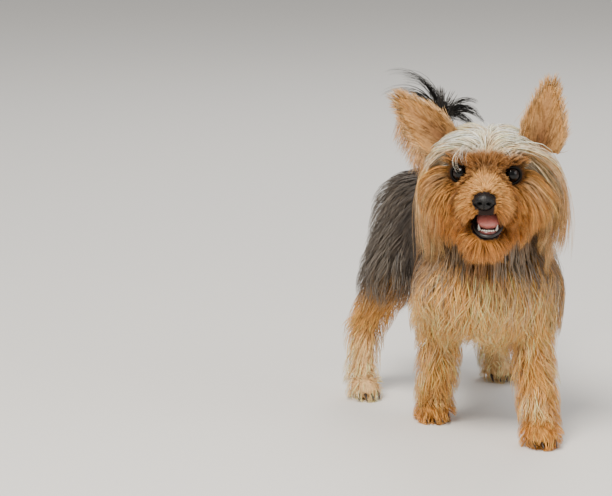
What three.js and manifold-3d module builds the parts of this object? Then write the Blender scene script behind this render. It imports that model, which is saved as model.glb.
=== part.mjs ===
// A life-size Yorkshire terrier, standing, in millimetres. +X is the dog's left, +Y its rear, +Z up; the soles are at z = 0.
// The trunk, neck, head, legs and tail are one rounded form under a coat, parted with thin cuts where a person would name its parts.
// The outline is the coat's: each muscle or bone mass below has its own size and the depth of the hair that lies on it.
import * as THREE from "three";
import { mergeVertices } from "three/addons/utils/BufferGeometryUtils.js";
import Module from "manifold-3d";

const wasm = await Module();
wasm.setup();

// ---- driving dimensions (mm, degrees) ----
const CUT = 0.5; // width of the cut between two parts of the body
const CLEAR = 0.3; // room round an eye, the nose, a tooth or a claw
const HEAD = { at: [-19.3, -140, 213.5], yaw: 17, roll: 1 }; // midpoint of the eyes; the face is turned to the dog's right
const EYE = { at: [18.3, 2.2, -0.5], r: 8.2, window: [8.2, 10, 7.6] };
const NOSE = { at: [0, -32.5, -16.4], r: [8.1, 6.2, 6.3], nostril: 2.1 };
const MOUTH = { at: [2.9, -17.2, -34.7], r: [11.4, 17, 10.5] };
const TONGUE = { at: [2.9, -9, -34.4], r: [7.4, 12.4, 5.4], tip_down: 5 };
const TEETH = { at: [2.9, -14.5, -42.2], half: 8.2, depth: 9.5, height: 3, thick: 2.2, canine: 5 };
const EAR = { half: 14.5, thick: 4.2, cup: 0.5, sunk: 9 };
const EARS = {
  ear_left: { base: [40, 23, 22], tip: [45.5, 25, 65], face: [0.1, -1, 0.05], wide: 1.28 },
  ear_right: { base: [-36, 26, 22], tip: [-69, 39, 49], face: [-0.45, -0.85, 0.25], wide: 1.22 },
};
const CLAW = { r: 1.5, length: 8, droop: 28 };
const ORIGIN = [3.1, 21.64, 0]; // puts the middle of the model, on the floor, at the origin

const STEP = { body: 11.1, head: 9.3 }; // lattice steps of the surface: the head's is finer
const SLIVER = [0.02, 0.05, 0.1, 0.2, 0.35]; // edges this short, left by the cuts, are closed up, the least that is enough

// Where the body is parted: each piece is what lies in front of its planes (a normal and a point on the plane).
const FORE = (s, back) => [[[s, 0, 0], [2 * s, 0, 0]], [[s, 0, -0.3], [2 * s, 0, 85]], [[0, -1, -0.3], [0, back, 128]], [[0, 0, -1], [0, 0, 126]]];
const HIND = (s, front) => [[[s, 0, 0], [10 * s, 0, 0]], [[s, 0, -0.6], [13 * s, 0, 148]], [[0, 1, 0], [0, front, 0]]];
const PARTING = [
  { name: "fore_left_upper", from: "trunk", planes: FORE(1, -50) },
  { name: "fore_right_upper", from: "trunk", planes: FORE(-1, -36) },
  { name: "hind_right_upper", from: "trunk", planes: HIND(-1, 22) },
  { name: "hind_left_upper", from: "trunk", planes: HIND(1, 30) },
  { name: "tail", from: "trunk", planes: [[[0.25, 0.44, 0.87], [3, 95, 178]], [[0, 1, 0], [0, 55, 0]]] },
  { name: "neck", from: "trunk", planes: [[[-0.1, -0.51, 0.85], [-2, -86, 167]]] },
  { name: "head", from: "neck", planes: [[[-0.1, -0.65, 0.75], [-6, -98, 192]]] },
  { name: "jaw", from: "head", head: 1, planes: [[[0, -0.13, -0.99], [0, -20, -33]], [[1, 0, 0], [-27, 0, 0]], [[-1, 0, 0], [27, 0, 0]]] },
  { name: "fore_left_lower", from: "fore_left_upper", planes: [[[0, -0.3, -0.95], [31, -84, 88]]] },
  { name: "fore_left_paw", from: "fore_left_lower", planes: [[[0, -0.2, -0.98], [29, -124, 23]]] },
  { name: "fore_right_lower", from: "fore_right_upper", planes: [[[0, 0.2, -0.98], [-31, -59, 88]]] },
  { name: "fore_right_paw", from: "fore_right_lower", planes: [[[0, -0.2, -0.98], [-30, -27, 23]]] },
  { name: "hind_right_lower", from: "hind_right_upper", planes: [[[-0.1, 0.25, -0.96], [-46, 58, 92]]] },
  { name: "hind_right_paw", from: "hind_right_lower", planes: [[[0, -0.2, -0.98], [-63, 66, 25]]] },
  { name: "hind_left_lower", from: "hind_left_upper", planes: [[[0.1, 0.35, -0.93], [42, 76, 94]]] },
  { name: "hind_left_paw", from: "hind_left_lower", planes: [[[0, -0.2, -0.98], [58, 106, 25]]] },
];

// Colour, roughness of the coat on each part.
const COAT_COLOUR = {
  trunk: 0x4a443e, neck: 0x9a8c78, head: 0xcfa672, jaw: 0xc08a48, tail: 0x33302d, ear: 0xb98a55,
  fore: 0xc99b62, hind: 0xc2a27a,
};

// ---- the form: balls (centre, radii) and tapering cones (two ends, two radii) ----
// of: the part it belongs to; k: how softly it blends with what comes before; coat: depth of hair at its ends;
// head: placed in the head's own frame; twin: repeated on the other side; only: hair with no flesh in it.
const FORM = {
  chest: { of: "trunk", at: [0, -58, 133], r: [32, 44, 41], k: 12, coat: [11, 11] },
  prosternum: { of: "trunk", at: [0, -88, 121], r: [22, 22, 26], k: 16, coat: [12, 12] },
  ribs: { of: "trunk", at: [0, -15, 138], r: [30, 50, 37], k: 20, coat: [11, 11] },
  loin: { of: "trunk", at: [0, 40, 146], r: [25, 46, 29], k: 20, coat: [10, 10] },
  pelvis: { of: "trunk", at: [0, 72, 148], r: [25, 32, 27], k: 20, coat: [8, 8] },
  withers: { of: "trunk", at: [0, -62, 164], r: [15, 30, 12], k: 18, coat: [8, 8] },
  shoulder: { of: "trunk", a: [20, -76, 148], b: [26, -84, 122], ra: 16, rb: 17, k: 16, coat: [8, 9], twin: 1 },
  bib: { of: "trunk", at: [0, -97, 110], r: [30, 20, 30], k: 16, coat: [0, 0], only: 1 },
  skirt: { of: "trunk", at: [0, -8, 112], r: [36, 56, 20], k: 14, coat: [0, 0], only: 1 },
  neck: { of: "neck", a: [0, -76, 150], b: [-6, -106, 200], ra: 30, rb: 24, k: 20, coat: [10, 11] },
  upperarm_left: { of: "fore_left_upper", a: [25, -84, 124], b: [31, -78, 99], ra: 17, rb: 13, k: 14, coat: [9, 11] },
  forearm_left: { of: "fore_left_lower", a: [31, -78, 99], b: [30, -114, 38], ra: 12, rb: 8, k: 10, coat: [11, 8] },
  pastern_left: { of: "fore_left_lower", a: [30, -114, 38], b: [29, -124, 16], ra: 8, rb: 8, k: 6, coat: [8, 6] },
  toes_fore_left: { of: "fore_left_paw", at: [28.5, -130, 9], r: [11.5, 15, 9], k: 6, coat: [5, 5] },
  upperarm_right: { of: "fore_right_upper", a: [-25, -84, 124], b: [-31, -62, 101], ra: 17, rb: 13, k: 14, coat: [9, 11] },
  forearm_right: { of: "fore_right_lower", a: [-31, -62, 101], b: [-31, -42, 42], ra: 12, rb: 8, k: 10, coat: [11, 9] },
  pastern_right: { of: "fore_right_lower", a: [-31, -42, 42], b: [-30, -27, 18], ra: 8, rb: 8, k: 6, coat: [9, 6] },
  toes_fore_right: { of: "fore_right_paw", at: [-29.5, -31, 9], r: [11.5, 14.5, 9], k: 6, coat: [5, 5] },
  thigh_right: { of: "hind_right_upper", a: [-20, 70, 148], b: [-40, 46, 112], ra: 25, rb: 19, k: 16, coat: [7, 9] },
  buttock_right: { of: "hind_right_upper", a: [-18, 84, 144], b: [-38, 70, 104], ra: 18, rb: 12, k: 14, coat: [7, 9] },
  gaskin_right: { of: "hind_right_lower", a: [-41, 48, 108], b: [-58, 84, 55], ra: 15.5, rb: 8, k: 12, coat: [9, 8] },
  hock_right: { of: "hind_right_lower", a: [-58, 84, 54], b: [-63, 66, 20], ra: 8, rb: 7.8, k: 6, coat: [8, 8] },
  toes_hind_right: { of: "hind_right_paw", at: [-64, 57, 9], r: [11, 15, 9], k: 6, coat: [6, 6] },
  thigh_left: { of: "hind_left_upper", a: [20, 72, 148], b: [36, 62, 112], ra: 25, rb: 19, k: 16, coat: [7, 9] },
  buttock_left: { of: "hind_left_upper", a: [18, 86, 144], b: [34, 84, 104], ra: 18, rb: 12, k: 14, coat: [7, 9] },
  gaskin_left: { of: "hind_left_lower", a: [38, 64, 108], b: [52, 118, 58], ra: 15.5, rb: 8, k: 12, coat: [9, 8] },
  hock_left: { of: "hind_left_lower", a: [52, 118, 57], b: [58, 106, 20], ra: 8, rb: 7.8, k: 6, coat: [8, 6] },
  toes_hind_left: { of: "hind_left_paw", at: [59, 98, 9], r: [11, 15, 9], k: 6, coat: [5, 5] },
  cranium: { of: "head", at: [0, 27, 2.5], r: [30, 33, 25], k: 8, coat: [8, 8], head: 1 },
  forehead: { of: "head", at: [0, 9, 5], r: [24, 17, 14], k: 8, coat: [6, 6], head: 1 },
  brow: { of: "head", at: [14, 0, 7], r: [9, 7, 6], k: 5, coat: [4, 4], twin: 1, head: 1 },
  cheek: { of: "head", at: [21, 16, -13], r: [13, 19, 15], k: 10, coat: [12, 12], twin: 1, head: 1 },
  muzzle: { of: "head", a: [0, 0, -13], b: [0, -27, -16.5], ra: 14.5, rb: 9.5, k: 8, coat: [6, 3], head: 1 },
  lip: { of: "head", a: [8, -9, -20], b: [5, -28, -20.5], ra: 8, rb: 6, k: 5, coat: [7, 3.5], twin: 1, head: 1 },
  fall_left: { of: "head", at: [37, 16, -18], r: [18, 25, 42], k: 10, coat: [0, 0], only: 1, head: 1 },
  fall_right: { of: "head", at: [-31, 16, -20], r: [16.5, 25, 42], k: 10, coat: [0, 0], only: 1, head: 1 },
  moustache: { of: "head", at: [20, -10, -27], r: [13, 14, 15], k: 8, coat: [0, 0], twin: 1, only: 1, head: 1 },
  jawbone: { of: "jaw", a: [15, 18, -25], b: [5, -15, -46], ra: 9, rb: 6, k: 8, coat: [10, 6], twin: 1, head: 1 },
  chin: { of: "jaw", at: [0, -17, -47.5], r: [10, 8, 5.5], k: 5, coat: [7, 7], head: 1 },
  throat: { of: "jaw", at: [0, 24, -22], r: [22, 24, 15], k: 14, coat: [10, 10], head: 1 },
  beard: { of: "jaw", at: [0, 4, -54], r: [34, 20, 18], k: 12, coat: [0, 0], only: 1, head: 1 },
  tail_root: { of: "tail", a: [0, 90, 166], b: [6, 104, 198], ra: 9.5, rb: 7, k: 8, coat: [6, 7] },
  tail_tip: { of: "tail", a: [6, 104, 198], b: [11, 106, 229], ra: 7, rb: 4.5, k: 5, coat: [7, 8] },
};

const V = (a) => new THREE.Vector3(...a);
const headTurn = new THREE.Matrix4()
  .makeRotationZ(THREE.MathUtils.degToRad(-HEAD.yaw))
  .multiply(new THREE.Matrix4().makeRotationY(THREE.MathUtils.degToRad(HEAD.roll)));
const headFrame = new THREE.Matrix4().makeTranslation(...HEAD.at).multiply(headTurn);
const headBack = headTurn.clone().invert();
const onHead = (p) => V(p).applyMatrix4(headFrame);

// ---- the field: negative inside the coat ----
const masses = [];
for (const [name, m] of Object.entries(FORM))
  for (const side of m.twin ? [1, -1] : [1]) {
    const place = (p) => {
      const q = V(p);
      q.x *= side;
      return m.head ? q.applyMatrix4(headFrame) : q;
    };
    masses.push({
      name, of: m.of, k: m.k, head: m.head,
      a: m.a && place(m.a), b: m.b && place(m.b), ra: m.ra + m.coat[0], rb: m.rb + m.coat[1],
      at: m.at && place(m.at), r: m.r && V(m.r).addScalar(m.coat[0]),
    });
  }

const t1 = new THREE.Vector3(), t2 = new THREE.Vector3();
function distance(m, p) {
  if (m.a) {
    t1.subVectors(m.b, m.a);
    t2.subVectors(p, m.a);
    const h = THREE.MathUtils.clamp(t2.dot(t1) / t1.lengthSq(), 0, 1);
    return t2.addScaledVector(t1, -h).length() - THREE.MathUtils.lerp(m.ra, m.rb, h);
  }
  t1.subVectors(p, m.at);
  if (m.head) t1.applyMatrix4(headBack);
  t2.copy(t1).divide(m.r);
  const k0 = t2.length();
  const k1 = t2.divide(m.r).length();
  return k0 < 1e-3 ? -Math.min(m.r.x, m.r.y, m.r.z) : (k0 * (k0 - 1)) / k1;
}
function blend(a, b, k) {
  const h = THREE.MathUtils.clamp(0.5 + (0.5 * (b - a)) / k, 0, 1);
  return b + (a - b) * h - k * h * (1 - h);
}
function coat(p) {
  let d = distance(masses[0], p);
  for (let i = 1; i < masses.length; i++) d = blend(d, distance(masses[i], p), masses[i].k);
  return d;
}

// ---- the skin of a field on a lattice, as a closed mesh ----
function latticeSkin(field, box, step, polish = 0) {
  const n = box.getSize(new THREE.Vector3()).divideScalar(step).ceil().addScalar(1);
  const [nx, ny, nz] = [n.x, n.y, n.z];
  const at = (i, j, k, out) => out.set(box.min.x + i * step, box.min.y + j * step, box.min.z + k * step);
  const f = new Float64Array(nx * ny * nz);
  const id = (i, j, k) => (k * ny + j) * nx + i;
  const p = new THREE.Vector3();
  for (let k = 0; k < nz; k++)
    for (let j = 0; j < ny; j++)
      for (let i = 0; i < nx; i++) {
        const edge = !i || !j || !k || i === nx - 1 || j === ny - 1 || k === nz - 1;
        const d = field(at(i, j, k, p));
        f[id(i, j, k)] = edge ? Math.max(d, step * 0.4) : d;
      }
  const vertex = new Int32Array(f.length).fill(-1), place = [];
  const corners = [];
  for (let c = 0; c < 8; c++) corners.push([c & 1, (c >> 1) & 1, c >> 2]);
  for (let k = 0; k < nz - 1; k++)
    for (let j = 0; j < ny - 1; j++)
      for (let i = 0; i < nx - 1; i++) {
        const d = corners.map(([x, y, z]) => f[id(i + x, j + y, k + z)]);
        if (d.every((x) => x < 0) || d.every((x) => x >= 0)) continue;
        const sum = new THREE.Vector3();
        let count = 0;
        for (let a = 0; a < 8; a++)
          for (let b = a + 1; b < 8; b++) {
            const bits = a ^ b;
            if (bits & (bits - 1) || d[a] < 0 === d[b] < 0) continue;
            const s = d[a] / (d[a] - d[b]);
            sum.x += corners[a][0] + s * (corners[b][0] - corners[a][0]);
            sum.y += corners[a][1] + s * (corners[b][1] - corners[a][1]);
            sum.z += corners[a][2] + s * (corners[b][2] - corners[a][2]);
            count++;
          }
        sum.divideScalar(count).add(t1.set(i, j, k)).multiplyScalar(step).add(box.min);
        vertex[id(i, j, k)] = place.length;
        place.push(sum);
      }
  const e = step * 0.05, g = new THREE.Vector3(), q = new THREE.Vector3();
  for (let round = 0; round < polish; round++)
    for (const v of place) {
      const d = field(v);
      for (const x of ["x", "y", "z"]) {
        q.copy(v)[x] += e;
        const more = field(q);
        q[x] -= 2 * e;
        g[x] = (more - field(q)) / (2 * e);
      }
      const slope = Math.max(g.lengthSq(), 0.3);
      v.addScaledVector(g, THREE.MathUtils.clamp(-d / slope, -0.3 * step, 0.3 * step));
    }
  const index = [];
  const quad = (a, b, c, d, flip) => (flip ? index.push(a, c, b, a, d, c) : index.push(a, b, c, a, c, d));
  for (let k = 0; k < nz - 1; k++)
    for (let j = 0; j < ny - 1; j++)
      for (let i = 0; i < nx - 1; i++) {
        const here = f[id(i, j, k)] < 0;
        if (j && k && here !== f[id(i + 1, j, k)] < 0)
          quad(vertex[id(i, j - 1, k - 1)], vertex[id(i, j, k - 1)], vertex[id(i, j, k)], vertex[id(i, j - 1, k)], !here);
        if (i && k && here !== f[id(i, j + 1, k)] < 0)
          quad(vertex[id(i - 1, j, k - 1)], vertex[id(i - 1, j, k)], vertex[id(i, j, k)], vertex[id(i, j, k - 1)], !here);
        if (i && j && here !== f[id(i, j, k + 1)] < 0)
          quad(vertex[id(i - 1, j - 1, k)], vertex[id(i, j - 1, k)], vertex[id(i, j, k)], vertex[id(i - 1, j, k)], !here);
      }
  const geometry = new THREE.BufferGeometry();
  geometry.setAttribute("position", new THREE.BufferAttribute(new Float32Array(place.flatMap((v) => v.toArray())), 3));
  geometry.setIndex(index);
  return geometry;
}

// ---- to and from manifold-3d ----
function solid(geometry) {
  const g = geometry.clone();
  for (const name of Object.keys(g.attributes)) if (name !== "position") g.deleteAttribute(name);
  const m = mergeVertices(g, 1e-4);
  return new wasm.Manifold(
    new wasm.Mesh({ numProp: 3, vertProperties: m.attributes.position.array, triVerts: new Uint32Array(m.index.array) }),
  );
}
function geometryOf(s) {
  const m = s.getMesh(), n = m.numProp, v = new Float32Array(m.numVert * 3);
  for (let i = 0; i < m.numVert; i++) v.set(m.vertProperties.subarray(i * n, i * n + 3), i * 3);
  const g = new THREE.BufferGeometry();
  g.setAttribute("position", new THREE.BufferAttribute(v, 3));
  g.setIndex(new THREE.BufferAttribute(m.triVerts, 1));
  return g.toNonIndexed();
}
const largest = (s) => s.decompose().sort((a, b) => b.volume() - a.volume())[0];

// Every edge of a closed surface is met once from each side.
function isClosed(geometry) {
  const p = geometry.attributes.position, edges = new Set();
  const key = (i) => [p.getX(i), p.getY(i), p.getZ(i)].map((x) => Math.round(x * 500)).join();
  let doubled = false;
  for (let i = 0; i < p.count; i += 3) {
    const k = [key(i), key(i + 1), key(i + 2)];
    for (let e = 0; e < 3; e++) {
      const edge = k[e] + " " + k[(e + 1) % 3];
      doubled ||= k[e] === k[(e + 1) % 3] || edges.has(edge);
      edges.add(edge);
    }
  }
  return !doubled && [...edges].every((edge) => edges.has(edge.split(" ").reverse().join(" ")));
}
function clean(s) {
  for (const size of SLIVER) {
    const geometry = geometryOf(largest(s.simplify(size)));
    if (isClosed(geometry)) return geometry;
  }
  throw new Error("slivers are left");
}

// ---- shapes drawn from a sphere or a cone, and moved vertex by vertex ----
function shaped(geometry, move) {
  const p = geometry.attributes.position, v = new THREE.Vector3();
  for (let i = 0; i < p.count; i++) {
    v.fromBufferAttribute(p, i);
    move(v);
    p.setXYZ(i, v.x, v.y, v.z);
  }
  return geometry;
}
function ellipsoid(at, r, more = 0, across = 16, down = 12) {
  return shaped(new THREE.SphereGeometry(1, across, down), (v) => {
    v.multiply(V(r).addScalar(more)).add(V(at));
  }).applyMatrix4(headFrame);
}
// The tongue is arched and lower at its tip.
function tongue(more = 0) {
  return shaped(new THREE.SphereGeometry(1, 12, 8), (v) => {
    const along = v.y;
    v.multiply(V(TONGUE.r).addScalar(more));
    v.z += -TONGUE.tip_down * 0.5 * (1 - along) + 3 - 0.02 * v.x * v.x;
    v.add(V(TONGUE.at));
  }).applyMatrix4(headFrame);
}
// A curved ridge of small teeth between two canines, as one piece that grows from the jaw.
function teeth(more = 0) {
  const T = TEETH;
  const ridge = shaped(new THREE.BoxGeometry(2, 1, 1, 22, 1, 1), (v) => {
    const s = v.x, turn = (s * Math.PI) / 2;
    const canine = Math.exp(-(((Math.abs(s) - 0.73) / 0.09) ** 2));
    const top = T.height + (T.canine - T.height) * canine - 0.5 * (Math.round((s + 1) * 11) % 2) * (1 - canine);
    const reach = v.y * 2 * (T.thick / 2 * (v.z > 0 && Math.abs(s) < 0.95 ? 0.55 : 1) + more);
    v.set((T.half - reach) * Math.sin(turn), -(T.depth - reach) * Math.cos(turn) + reach * 0, v.z > 0 ? top + more : -2.4 - more);
    v.x += Math.sign(s) * (Math.abs(s) > 0.99 ? more : 0);
    v.add(V(T.at));
  });
  return solid(ridge.applyMatrix4(headFrame));
}
// A pricked ear: a leaf, cupped on the side it faces.
function ear({ base, tip, face, wide }, more = 0) {
  const along = V(tip).sub(V(base)).normalize();
  const across = new THREE.Vector3().crossVectors(V(face), along).normalize();
  const out = new THREE.Vector3().crossVectors(along, across).normalize();
  const length = V(tip).distanceTo(V(base)) + EAR.sunk;
  return shaped(new THREE.SphereGeometry(1, 16, 14).rotateX(Math.PI / 2), (v) => {
    const t = (v.z + 1) / 2, ring = Math.hypot(v.x, v.y);
    const leaf = Math.pow(1 - t, 0.64) * (0.72 + 1.2 * Math.min(t, 0.25)) * 1.12;
    const u = (v.x / Math.max(ring, 0.05)) * (leaf * EAR.half * wide + more);
    const w = v.y * EAR.thick + (v.y / Math.max(ring, 0.05)) * more;
    const cup = (EAR.cup * u * u) / (EAR.half * wide) + 2.5 * t;
    v.copy(V(base))
      .addScaledVector(along, t * length - EAR.sunk)
      .addScaledVector(across, u)
      .addScaledVector(out, w + cup - 3);
  }).applyMatrix4(headFrame);
}

// ---- the parts ----
const group = new THREE.Group();
const solids = {};
const bounds = (pad) => {
  const box = new THREE.Box3();
  for (const m of masses) {
    const ends = m.a ? [[m.a, m.ra], [m.b, m.rb]] : [[m.at, m.head ? m.r.length() * 0.8 : Math.max(...m.r)]];
    for (const [at, r] of ends) box.union(new THREE.Box3().setFromCenterAndSize(at, V([r, r, r]).multiplyScalar(2)));
  }
  return box.expandByScalar(pad);
};
const floorBlock = solid(new THREE.BoxGeometry(600, 800, 600).translate(0, 0, 300));

// A lattice that meets itself at a corner is moved a little, until the skin on it is one closed surface.
function latticeSolid(field, box, step, polish) {
  for (let shift = 0; ; shift++)
    try {
      const moved = box.clone().translate(V([0.31, 0.17, 0.23]).multiplyScalar(shift * step * 0.37));
      return solid(latticeSkin(field, moved, step, polish));
    } catch (e) {
      if (shift > 12) throw e;
    }
}
// What lies in front of every plane, moved out by a width.
function block({ planes, head }, out) {
  let b = solid(new THREE.BoxGeometry(900, 900, 900));
  for (const [n, q] of planes) {
    const normal = V(n).normalize(), at = V(q);
    if (head) {
      normal.applyMatrix4(headTurn);
      at.applyMatrix4(headFrame);
    }
    b = b.trimByPlane(normal.toArray(), normal.dot(at) - out);
  }
  return b;
}

const surface = (step) => largest(latticeSolid(coat, bounds(2.2 * step), step, 3).intersect(floorBlock));
solids.trunk = surface(STEP.body);
const fine = surface(STEP.head);
for (const cut of PARTING) {
  const whole = cut.name === "head" ? fine : solids[cut.from];
  solids[cut.name] = largest(whole.intersect(block(cut, -CUT / 2)));
  solids[cut.from] = largest(solids[cut.from].subtract(block(cut, CUT / 2)));
}

// Sockets, mouth and nose are cut from the head and the jaw.
const sides = { left: 1, right: -1 };
const mirrored = (p, s) => [p[0] * s, p[1], p[2]];
for (const [side, s] of Object.entries(sides)) {
  const at = mirrored(EYE.at, s);
  solids["eye_" + side] = solid(ellipsoid(at, [EYE.r, EYE.r, EYE.r], 0, 14, 10));
  const socket = solid(ellipsoid(at, [EYE.r, EYE.r, EYE.r], CLEAR, 14, 10));
  const open = solid(ellipsoid([at[0] + 2 * s, at[1] - 10, at[2] + 0.37], EYE.window, 0, 12, 8));
  solids.head = solids.head.subtract(socket).subtract(open);
}
solids.nose = solid(ellipsoid(NOSE.at, NOSE.r, 0, 14, 10));
for (const s of [1, -1]) {
  const hole = solid(ellipsoid([s * 4, NOSE.at[1] - 5.2, NOSE.at[2] - 0.6], [NOSE.nostril, 3, 1.7], 0, 8, 6));
  solids.nose = solids.nose.subtract(hole);
}
const noseRoom = solid(ellipsoid(NOSE.at, NOSE.r, CLEAR, 14, 10));
const mouthRoom = solid(ellipsoid(MOUTH.at, MOUTH.r, 0, 14, 10));
solids.tongue = solid(tongue());
solids.lower_teeth = largest(teeth().subtract(solid(tongue(CLEAR))));
const tongueRoom = solid(tongue(CLEAR)), teethRoom = teeth(CLEAR);
for (const part of ["head", "jaw"])
  solids[part] = largest(solids[part].subtract(mouthRoom).subtract(noseRoom).subtract(tongueRoom).subtract(teethRoom));

// Ears stand on the head, cut to it.
for (const [name, e] of Object.entries(EARS)) {
  solids.head = solids.head.subtract(solid(ear(e, CLEAR)));
  solids[name] = solid(ear(e));
}

// Four claws on each paw.
const PAWS = {
  fore_left: FORM.toes_fore_left, fore_right: FORM.toes_fore_right,
  hind_right: FORM.toes_hind_right, hind_left: FORM.toes_hind_left,
};
for (const [leg, paw] of Object.entries(PAWS))
  [-1.5, -0.5, 0.5, 1.5].forEach((place, i) => {
    const reach = paw.r[1] + paw.coat[0] - (Math.abs(place) > 1 ? 4.4 : 1.2);
    // a cone with its point forward, to -Y, and down by the droop
    const point = (more) =>
      new THREE.ConeGeometry(CLAW.r + more, CLAW.length + 2 * more, 8)
        .rotateX(Math.PI + THREE.MathUtils.degToRad(CLAW.droop))
        .translate(paw.at[0] + place * 5.6, paw.at[1] - reach, 4.6);
    const body = leg + "_paw";
    solids[body] = largest(solids[body].subtract(solid(point(CLEAR)).intersect(floorBlock)));
    solids[leg + "_claw_" + (i + 1)] = solid(point(0)).intersect(floorBlock);
  });

// ---- meshes ----
const look = (name) => {
  if (name.includes("claw")) return { color: 0x1d1a18, roughness: 0.4 };
  if (name.startsWith("eye")) return { color: 0x120c08, roughness: 0.08 };
  if (name === "nose") return { color: 0x141212, roughness: 0.35 };
  if (name === "tongue") return { color: 0xa85c5a, roughness: 0.4 };
  if (name === "lower_teeth") return { color: 0xe9e2cf, roughness: 0.3 };
  return { color: COAT_COLOUR[name] ?? COAT_COLOUR[name.split("_")[0]], roughness: 0.7 };
};
for (const [name, rough] of Object.entries(solids)) {
  const mesh = new THREE.Mesh(
    clean(rough.translate(ORIGIN)),
    new THREE.MeshStandardMaterial({ ...look(name), metalness: 0 }),
  );
  mesh.geometry.computeVertexNormals();
  mesh.name = name;
  group.add(mesh);
}

export default group;
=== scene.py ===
import math
import bpy
import numpy as np
from mathutils import Matrix, Vector
from mathutils.kdtree import KDTree

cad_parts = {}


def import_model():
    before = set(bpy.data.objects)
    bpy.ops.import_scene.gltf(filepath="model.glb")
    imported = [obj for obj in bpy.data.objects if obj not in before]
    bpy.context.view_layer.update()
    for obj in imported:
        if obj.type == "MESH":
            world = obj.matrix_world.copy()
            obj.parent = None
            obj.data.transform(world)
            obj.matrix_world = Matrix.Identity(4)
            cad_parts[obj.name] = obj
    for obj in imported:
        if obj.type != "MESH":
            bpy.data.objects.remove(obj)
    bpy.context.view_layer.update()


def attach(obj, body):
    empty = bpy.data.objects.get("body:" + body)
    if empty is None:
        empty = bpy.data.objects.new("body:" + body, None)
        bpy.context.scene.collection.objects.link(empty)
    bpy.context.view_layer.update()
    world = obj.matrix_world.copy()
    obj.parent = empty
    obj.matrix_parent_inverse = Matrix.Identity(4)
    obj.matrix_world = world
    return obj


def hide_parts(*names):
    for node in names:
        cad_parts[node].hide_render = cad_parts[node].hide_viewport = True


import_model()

rng = np.random.default_rng(7)
ORIGIN = np.array([3.1, 21.64, 0.0])
HEAD_AT, HEAD_YAW, HEAD_ROLL = np.array([-19.3, -140.0, 213.5]), 17.0, 1.0
EYE_AT, EYE_R = np.array([18.3, 2.2, -0.5]), 8.2
NOSE_AT, NOSE_R = np.array([0.0, -32.5, -16.4]), np.array([8.1, 6.2, 6.3])
MOUTH_AT, MOUTH_R = np.array([2.9, -17.2, -34.7]), np.array([11.4, 17.0, 10.5])
GRID = 1.7

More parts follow.
